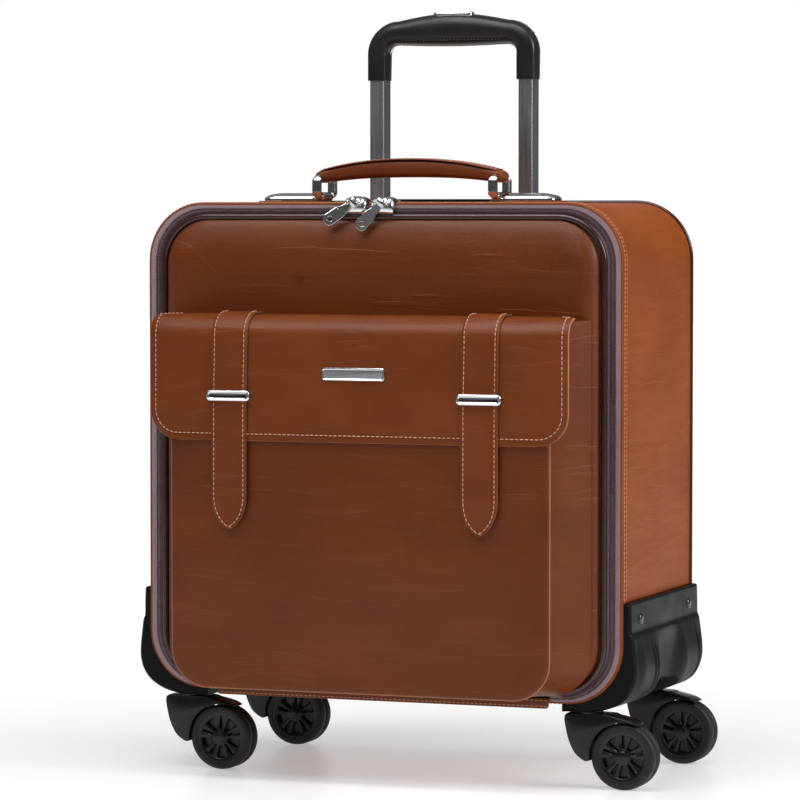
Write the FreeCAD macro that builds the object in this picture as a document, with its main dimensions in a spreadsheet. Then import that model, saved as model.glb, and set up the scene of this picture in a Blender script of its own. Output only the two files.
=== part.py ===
"""A leather rolling flight case with casters, a telescopic trolley, a zipped lid and a buckled pocket."""

import FreeCAD, Part
import math
import os
import re
import Sketcher
from FreeCAD import Rotation, Vector

# Driving dimensions in millimetres and degrees. Heights are above the floor, "front" distances are
# measured forwards from the middle of the case's depth, and an "inset" runs inwards from its outline.
SIZES = {
    "origin_across": -7.3,
    "origin_deep": 31.0,
    # case
    "case_width": 400,
    "case_depth": 186,
    "case_floor": 66,
    "case_top": 456,
    "case_corner": 46,
    "wall": 3.2,
    "board": 2.5,
    "lining": 1.2,
    "layer_gap": 0.3,
    "divider_front": -58,
    "back_panel_inset": 4.6,
    "back_panel_thick": 4,
    # front edge: insets at the sides, and how much of an inset the top and bottom edges take
    "top_share": 0.75,
    "bottom_share": 0.6,
    "corner_share": 0.6,
    "border_inset": 6.2,
    "border_deep": 5,
    "border_proud": 1,
    "body_tape_inset": 6.4,
    "zip_centre_inset": 8.65,
    "zip_gap": 0.3,
    "tape_front": 92.6,
    "tape_thick": 1.2,
    "lid_piping_inset": 15,
    "lid_piping_radius": 2.6,
    "lid_inset": 20,
    "hinge_strip_half": 140,
    "hinge_strip_low": 62,
    "hinge_strip_high": 70.5,
    "hinge_strip_thick": 2,
    "hinge_zone": 20,
    "tape_lap": 0.5,
    "lining_lap": 2,
    "rear_piping_inset": 2.6,
    "rear_piping_radius": 1.6,
    # lid, pocket and flap
    "lid_back": 92.7,
    "lid_front": 106,
    "lid_round": 11,
    "lid_skin": 3,
    "pocket_back": 106.2,
    "pocket_front": 145,
    "pocket_half_back": 176,
    "pocket_half_front": 157,
    "pocket_low": 74,
    "pocket_high": 365,
    "pocket_corner": 30,
    "pocket_wall": 2.5,
    "pocket_mouth_drop": 7,
    "flap_half": 174,
    "flap_back": 107.2,
    "flap_low": 270,
    "flap_top": 368,
    "flap_front": 150,
    "flap_thick": 2,
    "flap_ridge": 7,
    "flap_corner": 24,
    "strap_across": 104,
    "strap_half": 15,
    "strap_thick": 2.2,
    "strap_back": 118,
    "strap_tip": 200,
    "keeper_half": 18.5,
    "keeper_height": 9,
    "keeper_level": 305,
    "keeper_bar": 2.5,
    "badge_half": 26,
    "badge_height": 10,
    "badge_level": 323,
    "badge_thick": 1.5,
    "snap_level": 225,
    "snap_radius": 6,
    "fit_gap": 0.1,
    # zip sliders and pulls
    "slider_length": 20,
    "slider_left_across": -20,
    "slider_right_across": 3,
    "slider_back": 94.3,
    "slider_front": 96.6,
    "slider_low": 448,
    "slider_top": 461.5,
    "saddle_edge": 0.8,
    "saddle_round": 3,
    "saddle_lean": 1,
    "saddle_lip": 5,
    "saddle_clear": 0.6,
    "ear_clear": 0.5,
    "ear_half": 2.4,
    "ear_round": 2.2,
    "ear_span": 3.2,
    "pull_pin_front": 101,
    "pull_pin_level": 456,
    "pull_pin_radius": 1.3,
    "pull_fit": 0.08,
    "pull_eye": 3.2,
    "pull_neck_half": 3.4,
    "pull_half": 5,
    "pull_length": 28,
    "pull_neck_end": 9,
    "pull_shoulder": 14,
    "pull_round": 6,
    "pull_end_round": 4,
    "pull_thick": 2,
    "pull_hole": 2,
    "pull_hole_drop": 23,
    "pull_lean": 14,
    "pull_left_turn": 55,
    "pull_right_turn": 40,
    # carry handle
    "handle_front": 25,
    "ring_across": 75,
    "ring_low": 460.6,
    "ring_high": 476.6,
    "ring_half": 17,
    "ring_corner": 4,
    "ring_wire": 2,
    "ring_fit": 0.06,
    "grip_half_deep": 12,
    "grip_loop": 5.5,
    "grip_crown": 490,
    "grip_belly": 477,
    "grip_camber": 0.6,
    "grip_end_run": 14,
    "grip_end_round": 20,
    "grip_shoulder_round": 40,
    "grip_middle_round": 300,
    "grip_crown_round": 120,
    "grip_belly_drop": 1,
    "grip_crown_drop": 3,
    "pad_thick": 1.4,
    "pad_reach": 5,
    "pad_margin": 1,
    "pad_corner": 3,
    "anchor_end": 125,
    "anchor_dome": 463.2,
    "anchor_half_deep": 12,
    "anchor_start": 1,
    "anchor_slope": 9,
    "anchor_crown_run": 22,
    "anchor_camber": 1,
    "anchor_end_round": 16,
    "anchor_crown_round": 60,
    "knuckle": 3,
    # trolley
    "tube_across": 65,
    "tube_front": -75,
    "tube_wide": 12.5,
    "tube_deep": 18,
    "tube_wall": 1.2,
    "tube_step": 1.5,
    "tube_corner": 2,
    "tube_foot": 77.5,
    "middle_foot": 79,
    "middle_top": 455,
    "inner_foot": 190,
    "inner_top": 578,
    "foot_half": 82,
    "bezel_half": 87,
    "bezel_deep": 28,
    "bezel_top": 459,
    "bezel_corner": 8,
    "foot_corner": 3,
    "grip_leg_foot": 557,
    "grip_top": 608,
    "grip_under": 583,
    "grip_skin": 2.5,
    "grip_corner": 14,
    "grip_inner_corner": 8,
    "grip_hollow_corner": 5,
    "button_slot": 8,
    "leg_half": 8.5,
    "leg_skin": 2.15,
    "shell_deep": 10.4,
    "shell_cavity": 9.1,
    "shell_split": 0.1,
    "button_half": 17,
    "button_half_deep": 5,
    "button_foot": 596,
    "button_top": 613,
    "button_corner": 3,
    "yoke_foot": 590,
    "rod_radius": 2,
    "rod_foot": 200,
    # corner guards
    "guard_top": 146,
    "guard_foot": 60,
    "guard_inner": 150,
    "guard_lip": 206,
    "guard_bulge": 209.3,
    "guard_half_deep": 92,
    "guard_round": 18,
    "guard_edge": 2,
    "guard_belly_drop": 34,
    "guard_belly_round": 60,
    "arch_half": 45,
    "arch_top": 84,
    "arch_round": 16,
    "arch_taper": 6,
    "rivet_level": 132,
    "rivet_deep": 65,
    "rivet_radius": 3,
    "rivet_head": 4.2,
    "rivet_sink": 1.2,
    "rivet_proud": 0.6,
    # casters
    "caster_across": 169.5,
    "caster_deep": 80,
    "trail": 29,
    "wheel_radius": 26,
    "wheel_half": 3.75,
    "wheel_offset": 5.45,
    "wheel_bore": 2.05,
    "tread_round": 1.6,
    "rim_inner": 20.6,
    "rim_edge": 0.4,
    "dish_outer": 20,
    "dish_deep": 1.2,
    "hub_foot": 6.4,
    "hub_face": 5.6,
    "hub_proud": 0.3,
    "hub_edge": 0.5,
    "opening_outer": 18,
    "opening_inner": 9,
    "opening_half_outer": 3.6,
    "opening_half_inner": 1,
    "opening_round_outer": 1.2,
    "opening_round_inner": 0.8,
    "slot_inner": 10,
    "slot_half_outer": 0.9,
    "slot_half_inner": 0.5,
    "axle_radius": 2,
    "axle_half": 10.2,
    "hood_half": 9,
    "hood_top": 59.3,
    "hood_gap": 1.3,
    "hood_back": 20,
    "hood_brow": 27,
    "hood_reach": 38,
    "hood_tip": 53.5,
    "hood_lip": 36,
    "hood_lip_level": 48,
    "hood_throat": 10,
    "hood_throat_level": 30,
    "hood_foot": 22,
    "hood_heel": 12,
    "hood_heel_level": 26,
    "hood_edge": 2,
    "hood_round": 3,
    "tip_round": 1,
    "web_half": 1.2,
    "web_back": 4,
    "web_top": 56,
    "web_throat": 30,
    "web_low": 24,
    "web_low_level": 21,
    "web_end": 34.5,
    "web_end_level": 22,
    "plate_thick": 2,
    "axle_fit": 0.02,
    "plate_radius": 11.5,
    "stem_radius": 5,
    "stem_top": 66,
    "bearing_radius": 9,
    "bearing_low": 60.3,
    "bearing_high": 66.3,
    "bearing_fit": 0.06,
}

# A wheel has this many wide openings, with a narrow slot halfway between each two.
OPENINGS = 5
SLOT_TURN = 180 / OPENINGS

doc = FreeCAD.newDocument("FlightCase")
sheet = doc.addObject("Spreadsheet::Sheet", "Sizes")
kept = []


def fill_sheet():
    """One row per driving dimension: its name, then its value under that name as an alias."""
    for row, (name, number) in enumerate(SIZES.items(), start=1):
        sheet.set(f"A{row}", name)
        sheet.set(f"B{row}", str(number))
        sheet.setAlias(f"B{row}", name)
    doc.recompute()


def formula(text):
    """The text with each dimension's name written as a cell of the sheet."""
    def as_cell(word):
        return "Sizes." + word.group() if word.group() in SIZES else word.group()

    return re.sub(r"[a-z_]+", as_cell, text)


def value(text):
    """What a formula comes to, for the first place of a sketch's geometry."""
    return float(sheet.evalExpression(formula(text)))


def bind(thing, field, text):
    thing.setExpression(field, formula(text))


# Sketches -------------------------------------------------------------------------------------------


def new_body(label, several=False):
    body = doc.addObject("PartDesign::Body", label)
    body.Label = label
    body.AllowCompound = several
    return body


def new_sketch(body, plane, offset="0"):
    """A sketch on one of the body's own origin planes, moved along that plane's normal."""
    sketch = body.newObject("Sketcher::SketchObject", body.Name + "_sketch")
    support = [item for item in body.Origin.OriginFeatures if item.Role == plane]
    sketch.AttachmentSupport = [(support[0], "")]
    sketch.MapMode = "FlatFace"
    bind(sketch, "AttachmentOffset.Base.z", offset)
    return sketch


def front_sketch(body, front):
    """Across the case: X to the right, Z up, and the normal points forwards."""
    return new_sketch(body, "XZ_Plane", front)


def side_sketch(body, across="0"):
    """From front to back: sketch x is Y, so a distance forwards is negative."""
    return new_sketch(body, "YZ_Plane", across)


def level_sketch(body, level):
    return new_sketch(body, "XY_Plane", level)


def pin_point(sketch, item, end, x, y):
    """Hold one point of the sketch at the given formulas."""
    for axis, text in (("DistanceX", x), ("DistanceY", y)):
        index = sketch.addConstraint(Sketcher.Constraint(axis, item, end, value(text)))
        name = f"place{index}"
        sketch.renameConstraint(index, name)
        bind(sketch, "Constraints." + name, text)


def hold_radius(sketch, item, radius):
    index = sketch.addConstraint(Sketcher.Constraint("Radius", item, value(radius)))
    name = f"radius{index}"
    sketch.renameConstraint(index, name)
    bind(sketch, "Constraints." + name, radius)


def circle(sketch, x, y, radius):
    shape = Part.Circle(Vector(value(x), value(y), 0), Vector(0, 0, 1), value(radius))
    item = sketch.addGeometry(shape)
    pin_point(sketch, item, 3, x, y)
    hold_radius(sketch, item, radius)


def corner_arc(before, corner, after, radius):
    """The arc that rounds a corner, the points where it starts and ends, and whether it turns left."""
    back = (before - corner).normalize()
    ahead = (after - corner).normalize()
    half = math.acos(max(-1, min(1, back.dot(ahead)))) / 2
    reach = radius / math.tan(half)
    start = corner + back * reach
    finish = corner + ahead * reach
    centre = corner + (back + ahead).normalize() * (radius / math.sin(half))
    left = back.cross(ahead).z < 0
    first, last = (start, finish) if left else (finish, start)
    angles = [math.atan2(point.y - centre.y, point.x - centre.x) for point in (first, last)]
    round_shape = Part.ArcOfCircle(Part.Circle(centre, Vector(0, 0, 1), radius), angles[0], angles[1])
    return round_shape, start, finish, left


def outline(sketch, corners):
    """A closed outline. Each corner is (x, y) when sharp or (x, y, radius) when rounded."""
    places = [Vector(value(corner[0]), value(corner[1]), 0) for corner in corners]
    count = len(corners)
    starts, finishes, rounds = [], [], []
    for index, corner in enumerate(corners):
        arc, start, finish, left = None, places[index], places[index], True
        if len(corner) == 3:
            before = places[index - 1]
            after = places[(index + 1) % count]
            arc, start, finish, left = corner_arc(before, places[index], after, value(corner[2]))
        starts.append(start)
        finishes.append(finish)
        rounds.append((arc, left))
    lines = [
        sketch.addGeometry(Part.LineSegment(finishes[index], starts[(index + 1) % count]))
        for index in range(count)
    ]
    for index, corner in enumerate(corners):
        join_corner(sketch, lines[index - 1], lines[index], corner, places[index], rounds[index])


def join_corner(sketch, line_in, line_out, corner, place, rounding):
    """Tie two lines together at a corner, directly or through a tangent arc."""
    arc, left = rounding
    if arc is None:
        sketch.addConstraint(Sketcher.Constraint("Coincident", line_in, 2, line_out, 1))
        pin_point(sketch, line_out, 1, corner[0], corner[1])
        return
    bend = sketch.addGeometry(arc)
    mark = sketch.addGeometry(Part.Point(place), True)
    first, last = (1, 2) if left else (2, 1)
    sketch.addConstraint(Sketcher.Constraint("Tangent", line_in, 2, bend, first))
    sketch.addConstraint(Sketcher.Constraint("Tangent", bend, last, line_out, 1))
    sketch.addConstraint(Sketcher.Constraint("PointOnObject", mark, 1, line_in))
    sketch.addConstraint(Sketcher.Constraint("PointOnObject", mark, 1, line_out))
    pin_point(sketch, mark, 1, corner[0], corner[1])
    hold_radius(sketch, bend, corner[2])


def rectangle(sketch, left, right, low, high, radius=None):
    rounding = () if radius is None else (radius,)
    outline(
        sketch,
        [(left, low) + rounding, (right, low) + rounding, (right, high) + rounding, (left, high) + rounding],
    )


def wall_outline(sketch, inset):
    """The case's outline seen from the front, moved inwards evenly."""
    half = f"(case_width / 2 - ({inset}))"
    rectangle(
        sketch,
        f"-{half}",
        half,
        f"case_floor + ({inset})",
        f"case_top - ({inset})",
        f"case_corner - ({inset})",
    )


def front_outline(sketch, inset):
    """One of the nested outlines of the front edge, which crowd together along the top and bottom."""
    half = f"(case_width / 2 - ({inset}))"
    rectangle(
        sketch,
        f"-{half}",
        half,
        f"case_floor + bottom_share * ({inset})",
        f"case_top - top_share * ({inset})",
        f"case_corner - corner_share * ({inset})",
    )


# Features -------------------------------------------------------------------------------------------


def pad(body, sketch, length, both_ways=False, backwards=False):
    feature = body.newObject("PartDesign::Pad", body.Name + "_pad")
    feature.Profile = (sketch, [""])
    bind(feature, "Length", length)
    feature.SideType = "Symmetric" if both_ways else "One side"
    feature.Reversed = backwards
    doc.recompute()
    return feature


def pocket(body, sketch, length, both_ways=False, forwards=False):
    """Cut against the sketch's normal, along it, or both ways, and make sure that something went."""
    before = body.Shape.Volume
    feature = body.newObject("PartDesign::Pocket", body.Name + "_pocket")
    feature.Profile = (sketch, [""])
    bind(feature, "Length", length)
    feature.SideType = "Symmetric" if both_ways else "One side"
    feature.Reversed = forwards
    doc.recompute()
    if body.Shape.Volume >= before - 0.01:
        raise RuntimeError(f"{feature.Name} cuts nothing")
    return feature


def pipe(body, path, profile):
    feature = body.newObject("PartDesign::AdditivePipe", body.Name + "_pipe")
    feature.Profile = (profile, [""])
    feature.Spine = (path, [""])
    doc.recompute()
    return feature


def fillet(body, feature, radius, wanted):
    """Round the edges of a feature that the test picks out."""
    names = [f"Edge{index}" for index, edge in enumerate(feature.Shape.Edges, start=1) if wanted(edge)]
    rounding = body.newObject("PartDesign::Fillet", body.Name + "_fillet")
    rounding.Base = (feature, names)
    bind(rounding, "Radius", radius)
    doc.recompute()
    return rounding


def keep(part, across="0", front="0", level="0", turn=None):
    """Set a finished sub-part in its place, measured from the case's reference point."""
    if turn is not None:
        part.Placement.Rotation = turn
    bind(part, "Placement.Base.x", f"origin_across + ({across})")
    bind(part, "Placement.Base.y", f"origin_deep - ({front})")
    bind(part, "Placement.Base.z", level)
    kept.append(part)
    return part


def ring(label, shape, outer, inner, back, front):
    """A band between two nested outlines."""
    body = new_body(label)
    sketch = front_sketch(body, back)
    shape(sketch, outer)
    shape(sketch, inner)
    pad(body, sketch, f"{front} - ({back})")
    return body


def plate(label, shape, inset, back, front):
    body = new_body(label)
    sketch = front_sketch(body, back)
    shape(sketch, inset)
    pad(body, sketch, f"{front} - ({back})")
    return body


# Case -----------------------------------------------------------------------------------------------


def tube_pair(sketch, grow):
    """The outlines of both trolley tubes, grown evenly from the innermost stage."""
    for side in (-1, 1):
        rectangle(
            sketch,
            f"{side} * tube_across - (tube_wide / 2 + ({grow}))",
            f"{side} * tube_across + (tube_wide / 2 + ({grow}))",
            f"-tube_front - (tube_deep / 2 + ({grow}))",
            f"-tube_front + (tube_deep / 2 + ({grow}))",
            f"tube_corner + ({grow})",
        )


def side_wall():
    body = ring(
        "side_wall",
        wall_outline,
        "0",
        "wall",
        "-case_depth / 2 + 2 * rear_piping_radius + layer_gap",
        "case_depth / 2 + border_proud - border_deep",
    )
    holes = level_sketch(body, "case_top + wall")
    tube_pair(holes, "2 * tube_step + layer_gap")
    pocket(body, holes, "4 * wall")
    keep(body)


def back_panel():
    front = "-case_depth / 2 + 5"
    keep(plate("back_panel", wall_outline, "back_panel_inset", f"{front} - back_panel_thick", front))


def rear_piping():
    body = new_body("rear_piping")
    path = front_sketch(body, "-case_depth / 2 + rear_piping_radius")
    wall_outline(path, "rear_piping_inset")
    profile = side_sketch(body)
    behind = "case_depth / 2 - rear_piping_radius"
    circle(profile, behind, "case_top - rear_piping_inset", "rear_piping_radius")
    pipe(body, path, profile)
    keep(body)


def front_border():
    front = "case_depth / 2 + border_proud"
    keep(ring("front_border", front_outline, "0", "border_inset", f"{front} - border_deep + fit_gap", front))


def frame_board():
    inset = "(wall + layer_gap)"
    front = "case_depth / 2 - border_deep"
    keep(ring("frame_board", wall_outline, inset, f"{inset} + board", "divider_front", front))


def case_lining():
    inset = "(wall + board + 2 * layer_gap)"
    front = "case_depth / 2 - border_deep"
    keep(ring("case_lining", wall_outline, inset, f"{inset} + lining", "divider_front", front))


def rear_divider():
    inset = "(wall + board + 3 * layer_gap)"
    back = "divider_front - board - fit_gap"
    keep(plate("rear_divider", wall_outline, inset, back, "divider_front - fit_gap"))


def open_below(body):
    """Leave a zip's band open along the hinge at the bottom."""
    cut = front_sketch(body, "tape_front")
    floor, ceiling = "case_floor - hinge_zone", "case_floor + hinge_zone"
    rectangle(cut, "-hinge_strip_half", "hinge_strip_half", floor, ceiling)
    pocket(body, cut, "8 * tape_thick", both_ways=True)


def body_zip_tape():
    inner = "zip_centre_inset - zip_gap / 2"
    back = "tape_front - tape_thick"
    body = ring("body_zip_tape", front_outline, "body_tape_inset", inner, back, "tape_front")
    open_below(body)
    keep(body)


def hinge_strip():
    body = new_body("hinge_strip")
    back = "case_depth / 2 + border_proud + fit_gap"
    sketch = front_sketch(body, back)
    rectangle(sketch, "-hinge_strip_half", "hinge_strip_half", "hinge_strip_low", "hinge_strip_high")
    pad(body, sketch, "hinge_strip_thick")
    keep(body)


# Corner guards --------------------------------------------------------------------------------------


def corner_guard(name, side):
    body = new_body(f"corner_guard_{name}")
    profile = front_sketch(body, "0")
    inner = f"{side} * (case_width / 2 + layer_gap)"
    below = "case_floor - layer_gap"
    outline(
        profile,
        [
            (inner, "guard_top"),
            (f"{side} * guard_lip", "guard_top", "guard_edge"),
            (f"{side} * guard_bulge", "guard_top - guard_belly_drop", "guard_belly_round"),
            (f"{side} * guard_bulge", "guard_foot", "guard_round"),
            (f"{side} * guard_inner", "guard_foot", "guard_edge"),
            (f"{side} * guard_inner", below),
            (inner, below, "case_corner + layer_gap"),
        ],
    )
    pad(body, profile, "2 * guard_half_deep", both_ways=True)
    arch = side_sketch(body)
    outline(
        arch,
        [
            ("-arch_half", "guard_foot - wall"),
            ("arch_half", "guard_foot - wall"),
            ("arch_half - arch_taper", "arch_top", "arch_round"),
            ("-arch_half + arch_taper", "arch_top", "arch_round"),
        ],
    )
    pocket(body, arch, "3 * guard_bulge", both_ways=True)
    cups = level_sketch(body, "bearing_high + fit_gap")
    for end in (-1, 1):
        circle(cups, f"{side} * caster_across", f"{end} * caster_deep", "bearing_radius + fit_gap")
    pocket(body, cups, "4 * wall")
    holes = side_sketch(body)
    for end in (-1, 1):
        circle(holes, f"{end} * rivet_deep", "rivet_level", "rivet_radius + fit_gap")
    pocket(body, holes, "3 * guard_bulge", both_ways=True)
    keep(body)


def guard_rivets():
    """Each rivet is a shank through the guard and a low head outside it."""
    body = new_body("guard_rivets", several=True)
    for side in (-1, 1):
        stages = [("case_width / 2 + layer_gap", "guard_bulge", "rivet_radius")]
        stages.append(("guard_bulge - rivet_sink", "guard_bulge + rivet_proud", "rivet_head"))
        for start, end, radius in stages:
            sketch = side_sketch(body, f"{side} * ({start})")
            for deep in (-1, 1):
                circle(sketch, f"{deep} * rivet_deep", "rivet_level", radius)
            pad(body, sketch, f"{end} - ({start})", backwards=side < 0)
    keep(body)


def caster_bearings():
    body = new_body("caster_bearings", several=True)
    sketch = level_sketch(body, "bearing_low")
    for side in (-1, 1):
        for end in (-1, 1):
            place = (f"{side} * caster_across", f"{end} * caster_deep")
            circle(sketch, *place, "bearing_radius")
            circle(sketch, *place, "stem_radius + bearing_fit")
    pad(body, sketch, "bearing_high - bearing_low")
    keep(body)


# Trolley --------------------------------------------------------------------------------------------


def tubes(label, grow, foot, top):
    body = new_body(label, several=True)
    sketch = level_sketch(body, foot)
    tube_pair(sketch, grow)
    tube_pair(sketch, f"{grow} - tube_wall")
    pad(body, sketch, f"{top} - {foot}")
    keep(body)


def trolley_top_plate():
    body = new_body("trolley_top_plate")
    sketch = level_sketch(body, "case_top + fit_gap")
    middle = "(-tube_front)"
    ends = (f"{middle} - bezel_deep / 2", f"{middle} + bezel_deep / 2")
    rectangle(sketch, "-bezel_half", "bezel_half", *ends, "bezel_corner")
    tube_pair(sketch, "tube_step + layer_gap")
    pad(body, sketch, "bezel_top - case_top - fit_gap")
    keep(body)


def trolley_foot():
    body = new_body("trolley_foot")
    sketch = level_sketch(body, "case_floor + wall + fit_gap")
    ends = ("-tube_front - tube_deep / 2", "-tube_front + tube_deep / 2")
    rectangle(sketch, "-foot_half", "foot_half", *ends, "foot_corner")
    pad(body, sketch, "tube_foot - (case_floor + wall + 2 * fit_gap)")
    keep(body)


def arch_shape(sketch, out, under, crown, foot, corner, inner_corner):
    """An upside-down U for the trolley grip: legs of one width joined by a bar."""
    leg = f"(tube_across + leg_half - ({out}))"
    inner = f"(tube_across - leg_half + ({out}))"
    outline(
        sketch,
        [
            (f"-{leg}", foot),
            (f"-{leg}", crown, corner),
            (leg, crown, corner),
            (leg, foot),
            (inner, foot),
            (inner, under, inner_corner),
            (f"-{inner}", under, inner_corner),
            (f"-{inner}", foot),
        ],
    )


def grip_shell(label, toward_front):
    """Half of the hollow trolley grip, on one side of its split plane."""
    body = new_body(label)
    split = "tube_front + shell_split" if toward_front else "tube_front - shell_split"
    sketch = front_sketch(body, split)
    arch_shape(sketch, "0", "grip_under", "grip_top", "grip_leg_foot", "grip_corner", "grip_inner_corner")
    pad(body, sketch, "shell_deep", backwards=not toward_front)
    hollow = front_sketch(body, split)
    under, crown, foot = "grip_under + grip_skin", "grip_top - grip_skin", "grip_leg_foot - wall"
    arch_shape(hollow, "leg_skin", under, crown, foot, "grip_corner - grip_skin", "grip_hollow_corner")
    pocket(body, hollow, "shell_cavity", forwards=toward_front)
    slot = front_sketch(body, split)
    half = "(button_half + layer_gap)"
    rectangle(slot, f"-{half}", half, "grip_top - button_slot", "grip_top + grip_skin")
    pocket(body, slot, "button_half_deep + layer_gap", forwards=toward_front)
    keep(body)


def release_button():
    body = new_body("release_button")
    sketch = front_sketch(body, "tube_front")
    outline(
        sketch,
        [
            ("-button_half", "button_foot"),
            ("button_half", "button_foot"),
            ("button_half", "button_top", "button_corner"),
            ("-button_half", "button_top", "button_corner"),
        ],
    )
    pad(body, sketch, "2 * button_half_deep", both_ways=True)
    keep(body)


def push_rods():
    """A yoke under the button and a rod down each tube, which free the stage locks."""
    body = new_body("push_rods")
    yoke = front_sketch(body, "tube_front")
    half = "(tube_across + 2 * rod_radius)"
    rectangle(yoke, f"-{half}", half, "yoke_foot", "button_foot - fit_gap")
    pad(body, yoke, "3 * rod_radius", both_ways=True)
    rods = level_sketch(body, "yoke_foot + rod_radius")
    for side in (-1, 1):
        circle(rods, f"{side} * tube_across", "-tube_front", "rod_radius")
    pad(body, rods, "yoke_foot + rod_radius - rod_foot", backwards=True)
    keep(body)


# Carry handle ---------------------------------------------------------------------------------------


def anchor_pads():
    """The leather tabs under the handle's anchors."""
    body = new_body("anchor_pads", several=True)
    sketch = level_sketch(body, "case_top + fit_gap")
    for side in (-1, 1):
        near = f"{side} * (ring_across - pad_reach)"
        far = f"{side} * (anchor_end + pad_reach)"
        ends = sorted((near, far), key=value)
        deep = "(anchor_half_deep + pad_margin)"
        rectangle(sketch, *ends, f"-handle_front - {deep}", f"-handle_front + {deep}", "pad_corner")
    pad(body, sketch, "pad_thick")
    keep(body)


def anchor_plates():
    """A domed plate at each end of the handle, with a knuckle that holds the ring's lower bar."""
    body = new_body("anchor_plates", several=True)
    base = "case_top + pad_thick + 2 * fit_gap"
    low, high = "anchor_dome - anchor_camber", "anchor_dome + anchor_camber"
    dome = front_sketch(body, "handle_front")
    for side in (-1, 1):
        outline(
            dome,
            [
                (f"{side} * (ring_across + anchor_start)", base),
                (f"{side} * anchor_end", base),
                (f"{side} * (anchor_end - anchor_slope)", low, "anchor_end_round"),
                (f"{side} * (ring_across + anchor_crown_run)", high, "anchor_crown_round"),
                (f"{side} * (ring_across + anchor_start)", low),
            ],
        )
    pad(body, dome, "2 * anchor_half_deep", both_ways=True)
    knuckles = front_sketch(body, "handle_front")
    for side in (-1, 1):
        circle(knuckles, f"{side} * ring_across", "ring_low", "knuckle")
    pad(body, knuckles, "2 * anchor_half_deep", both_ways=True)
    bores = front_sketch(body, "handle_front")
    for side in (-1, 1):
        circle(bores, f"{side} * ring_across", "ring_low", "ring_wire + ring_fit")
    pocket(body, bores, "3 * anchor_half_deep", both_ways=True)
    keep(body)


def carry_ring(name, side):
    """A rectangular wire ring that stands in the plane across the handle."""
    body = new_body(f"carry_ring_{name}")
    path = side_sketch(body, f"{side} * ring_across")
    half = "ring_half"
    ends = (f"-handle_front - {half}", f"-handle_front + {half}")
    rectangle(path, *ends, "ring_low", "ring_high", "ring_corner")
    profile = front_sketch(body, "handle_front")
    circle(profile, f"{side} * ring_across", "ring_low", "ring_wire")
    pipe(body, path, profile)
    keep(body)


def carry_grip():
    """An arched leather grip with a loop round each ring's upper bar."""
    body = new_body("carry_grip")
    sketch = front_sketch(body, "handle_front")
    low = "(ring_high - grip_loop + grip_camber)"
    high = "(ring_high + grip_loop - grip_camber)"
    shoulder = ("grip_belly - grip_belly_drop", "grip_shoulder_round")
    crown = ("grip_crown - grip_crown_drop", "grip_crown_round")
    outline(
        sketch,
        [
            ("-ring_across", low),
            ("-ring_across + grip_end_run", low, "grip_end_round"),
            ("-ring_across / 2", *shoulder),
            ("0", "grip_belly + grip_camber", "grip_middle_round"),
            ("ring_across / 2", *shoulder),
            ("ring_across - grip_end_run", low, "grip_end_round"),
            ("ring_across", low),
            ("ring_across", high),
            ("ring_across / 2", *crown),
            ("0", "grip_crown + grip_camber", "grip_middle_round"),
            ("-ring_across / 2", *crown),
            ("-ring_across", high),
        ],
    )
    pad(body, sketch, "2 * grip_half_deep", both_ways=True)
    loops = front_sketch(body, "handle_front")
    for side in (-1, 1):
        circle(loops, f"{side} * ring_across", "ring_high", "grip_loop")
    pad(body, loops, "2 * grip_half_deep", both_ways=True)
    bores = front_sketch(body, "handle_front")
    for side in (-1, 1):
        circle(bores, f"{side} * ring_across", "ring_high", "ring_wire + ring_fit")
    pocket(body, bores, "3 * grip_half_deep", both_ways=True)
    keep(body)


# Lid and pocket -------------------------------------------------------------------------------------


def lid_panel():
    """The padded front panel: a rounded slab, hollow behind."""
    body = plate("lid_panel", front_outline, "lid_inset", "lid_back", "lid_front")
    front = -value("lid_front")
    slab = body.Tip

    def lies_in_front(edge):
        box = edge.BoundBox
        return abs(box.YMin - front) + box.YLength < 0.01

    fillet(body, slab, "lid_round", lies_in_front)
    hollow = front_sketch(body, "lid_back")
    front_outline(hollow, "lid_inset + lid_round - lid_skin")
    pocket(body, hollow, "lid_front - lid_back - 1.3 * lid_skin", forwards=True)
    keep(body)


def lid_piping():
    body = new_body("lid_piping")
    front = "(tape_front + lid_piping_radius + 2 * fit_gap)"
    path = front_sketch(body, front)
    front_outline(path, "lid_piping_inset")
    profile = side_sketch(body)
    circle(profile, f"-{front}", "case_top - top_share * lid_piping_inset", "lid_piping_radius")
    pipe(body, path, profile)
    keep(body)


def lid_zip_tape():
    outer = "zip_centre_inset + zip_gap / 2"
    back = "tape_front - tape_thick"
    keep(ring("lid_zip_tape", front_outline, outer, "lid_inset - tape_lap", back, "tape_front"))


def lid_lining():
    front = "(tape_front - tape_thick - fit_gap)"
    keep(plate("lid_lining", front_outline, "lid_piping_inset - lining_lap", f"{front} - tape_thick", front))


def pocket_outline(sketch, half, low, high):
    """A panel outline with two rounded corners at the bottom."""
    outline(
        sketch,
        [(f"-{half}", high), (f"-{half}", low, "pocket_corner"), (half, low, "pocket_corner"), (half, high)],
    )


def loft(body, kind, shrink, back, front, high):
    """Add or take away the pocket's tapering bellows, shrunk evenly all round."""
    sections = []
    for place, half in ((back, "pocket_half_back"), (front, "pocket_half_front")):
        sketch = front_sketch(body, place)
        pocket_outline(sketch, f"({half} - {shrink})", f"pocket_low + {shrink}", high)
        sections.append(sketch)
    feature = body.newObject(kind, body.Name + "_loft")
    feature.Profile = (sections[0], [""])
    feature.Sections = [(sections[1], [""])]
    feature.Ruled = True
    doc.recompute()


def pocket_gusset():
    body = new_body("pocket_gusset")
    loft(body, "PartDesign::AdditiveLoft", "0", "pocket_back", "pocket_front", "pocket_high")
    above = "pocket_high + 2 * pocket_wall"
    loft(body, "PartDesign::SubtractiveLoft", "pocket_wall", "pocket_back", "pocket_front", above)
    keep(body)


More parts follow.
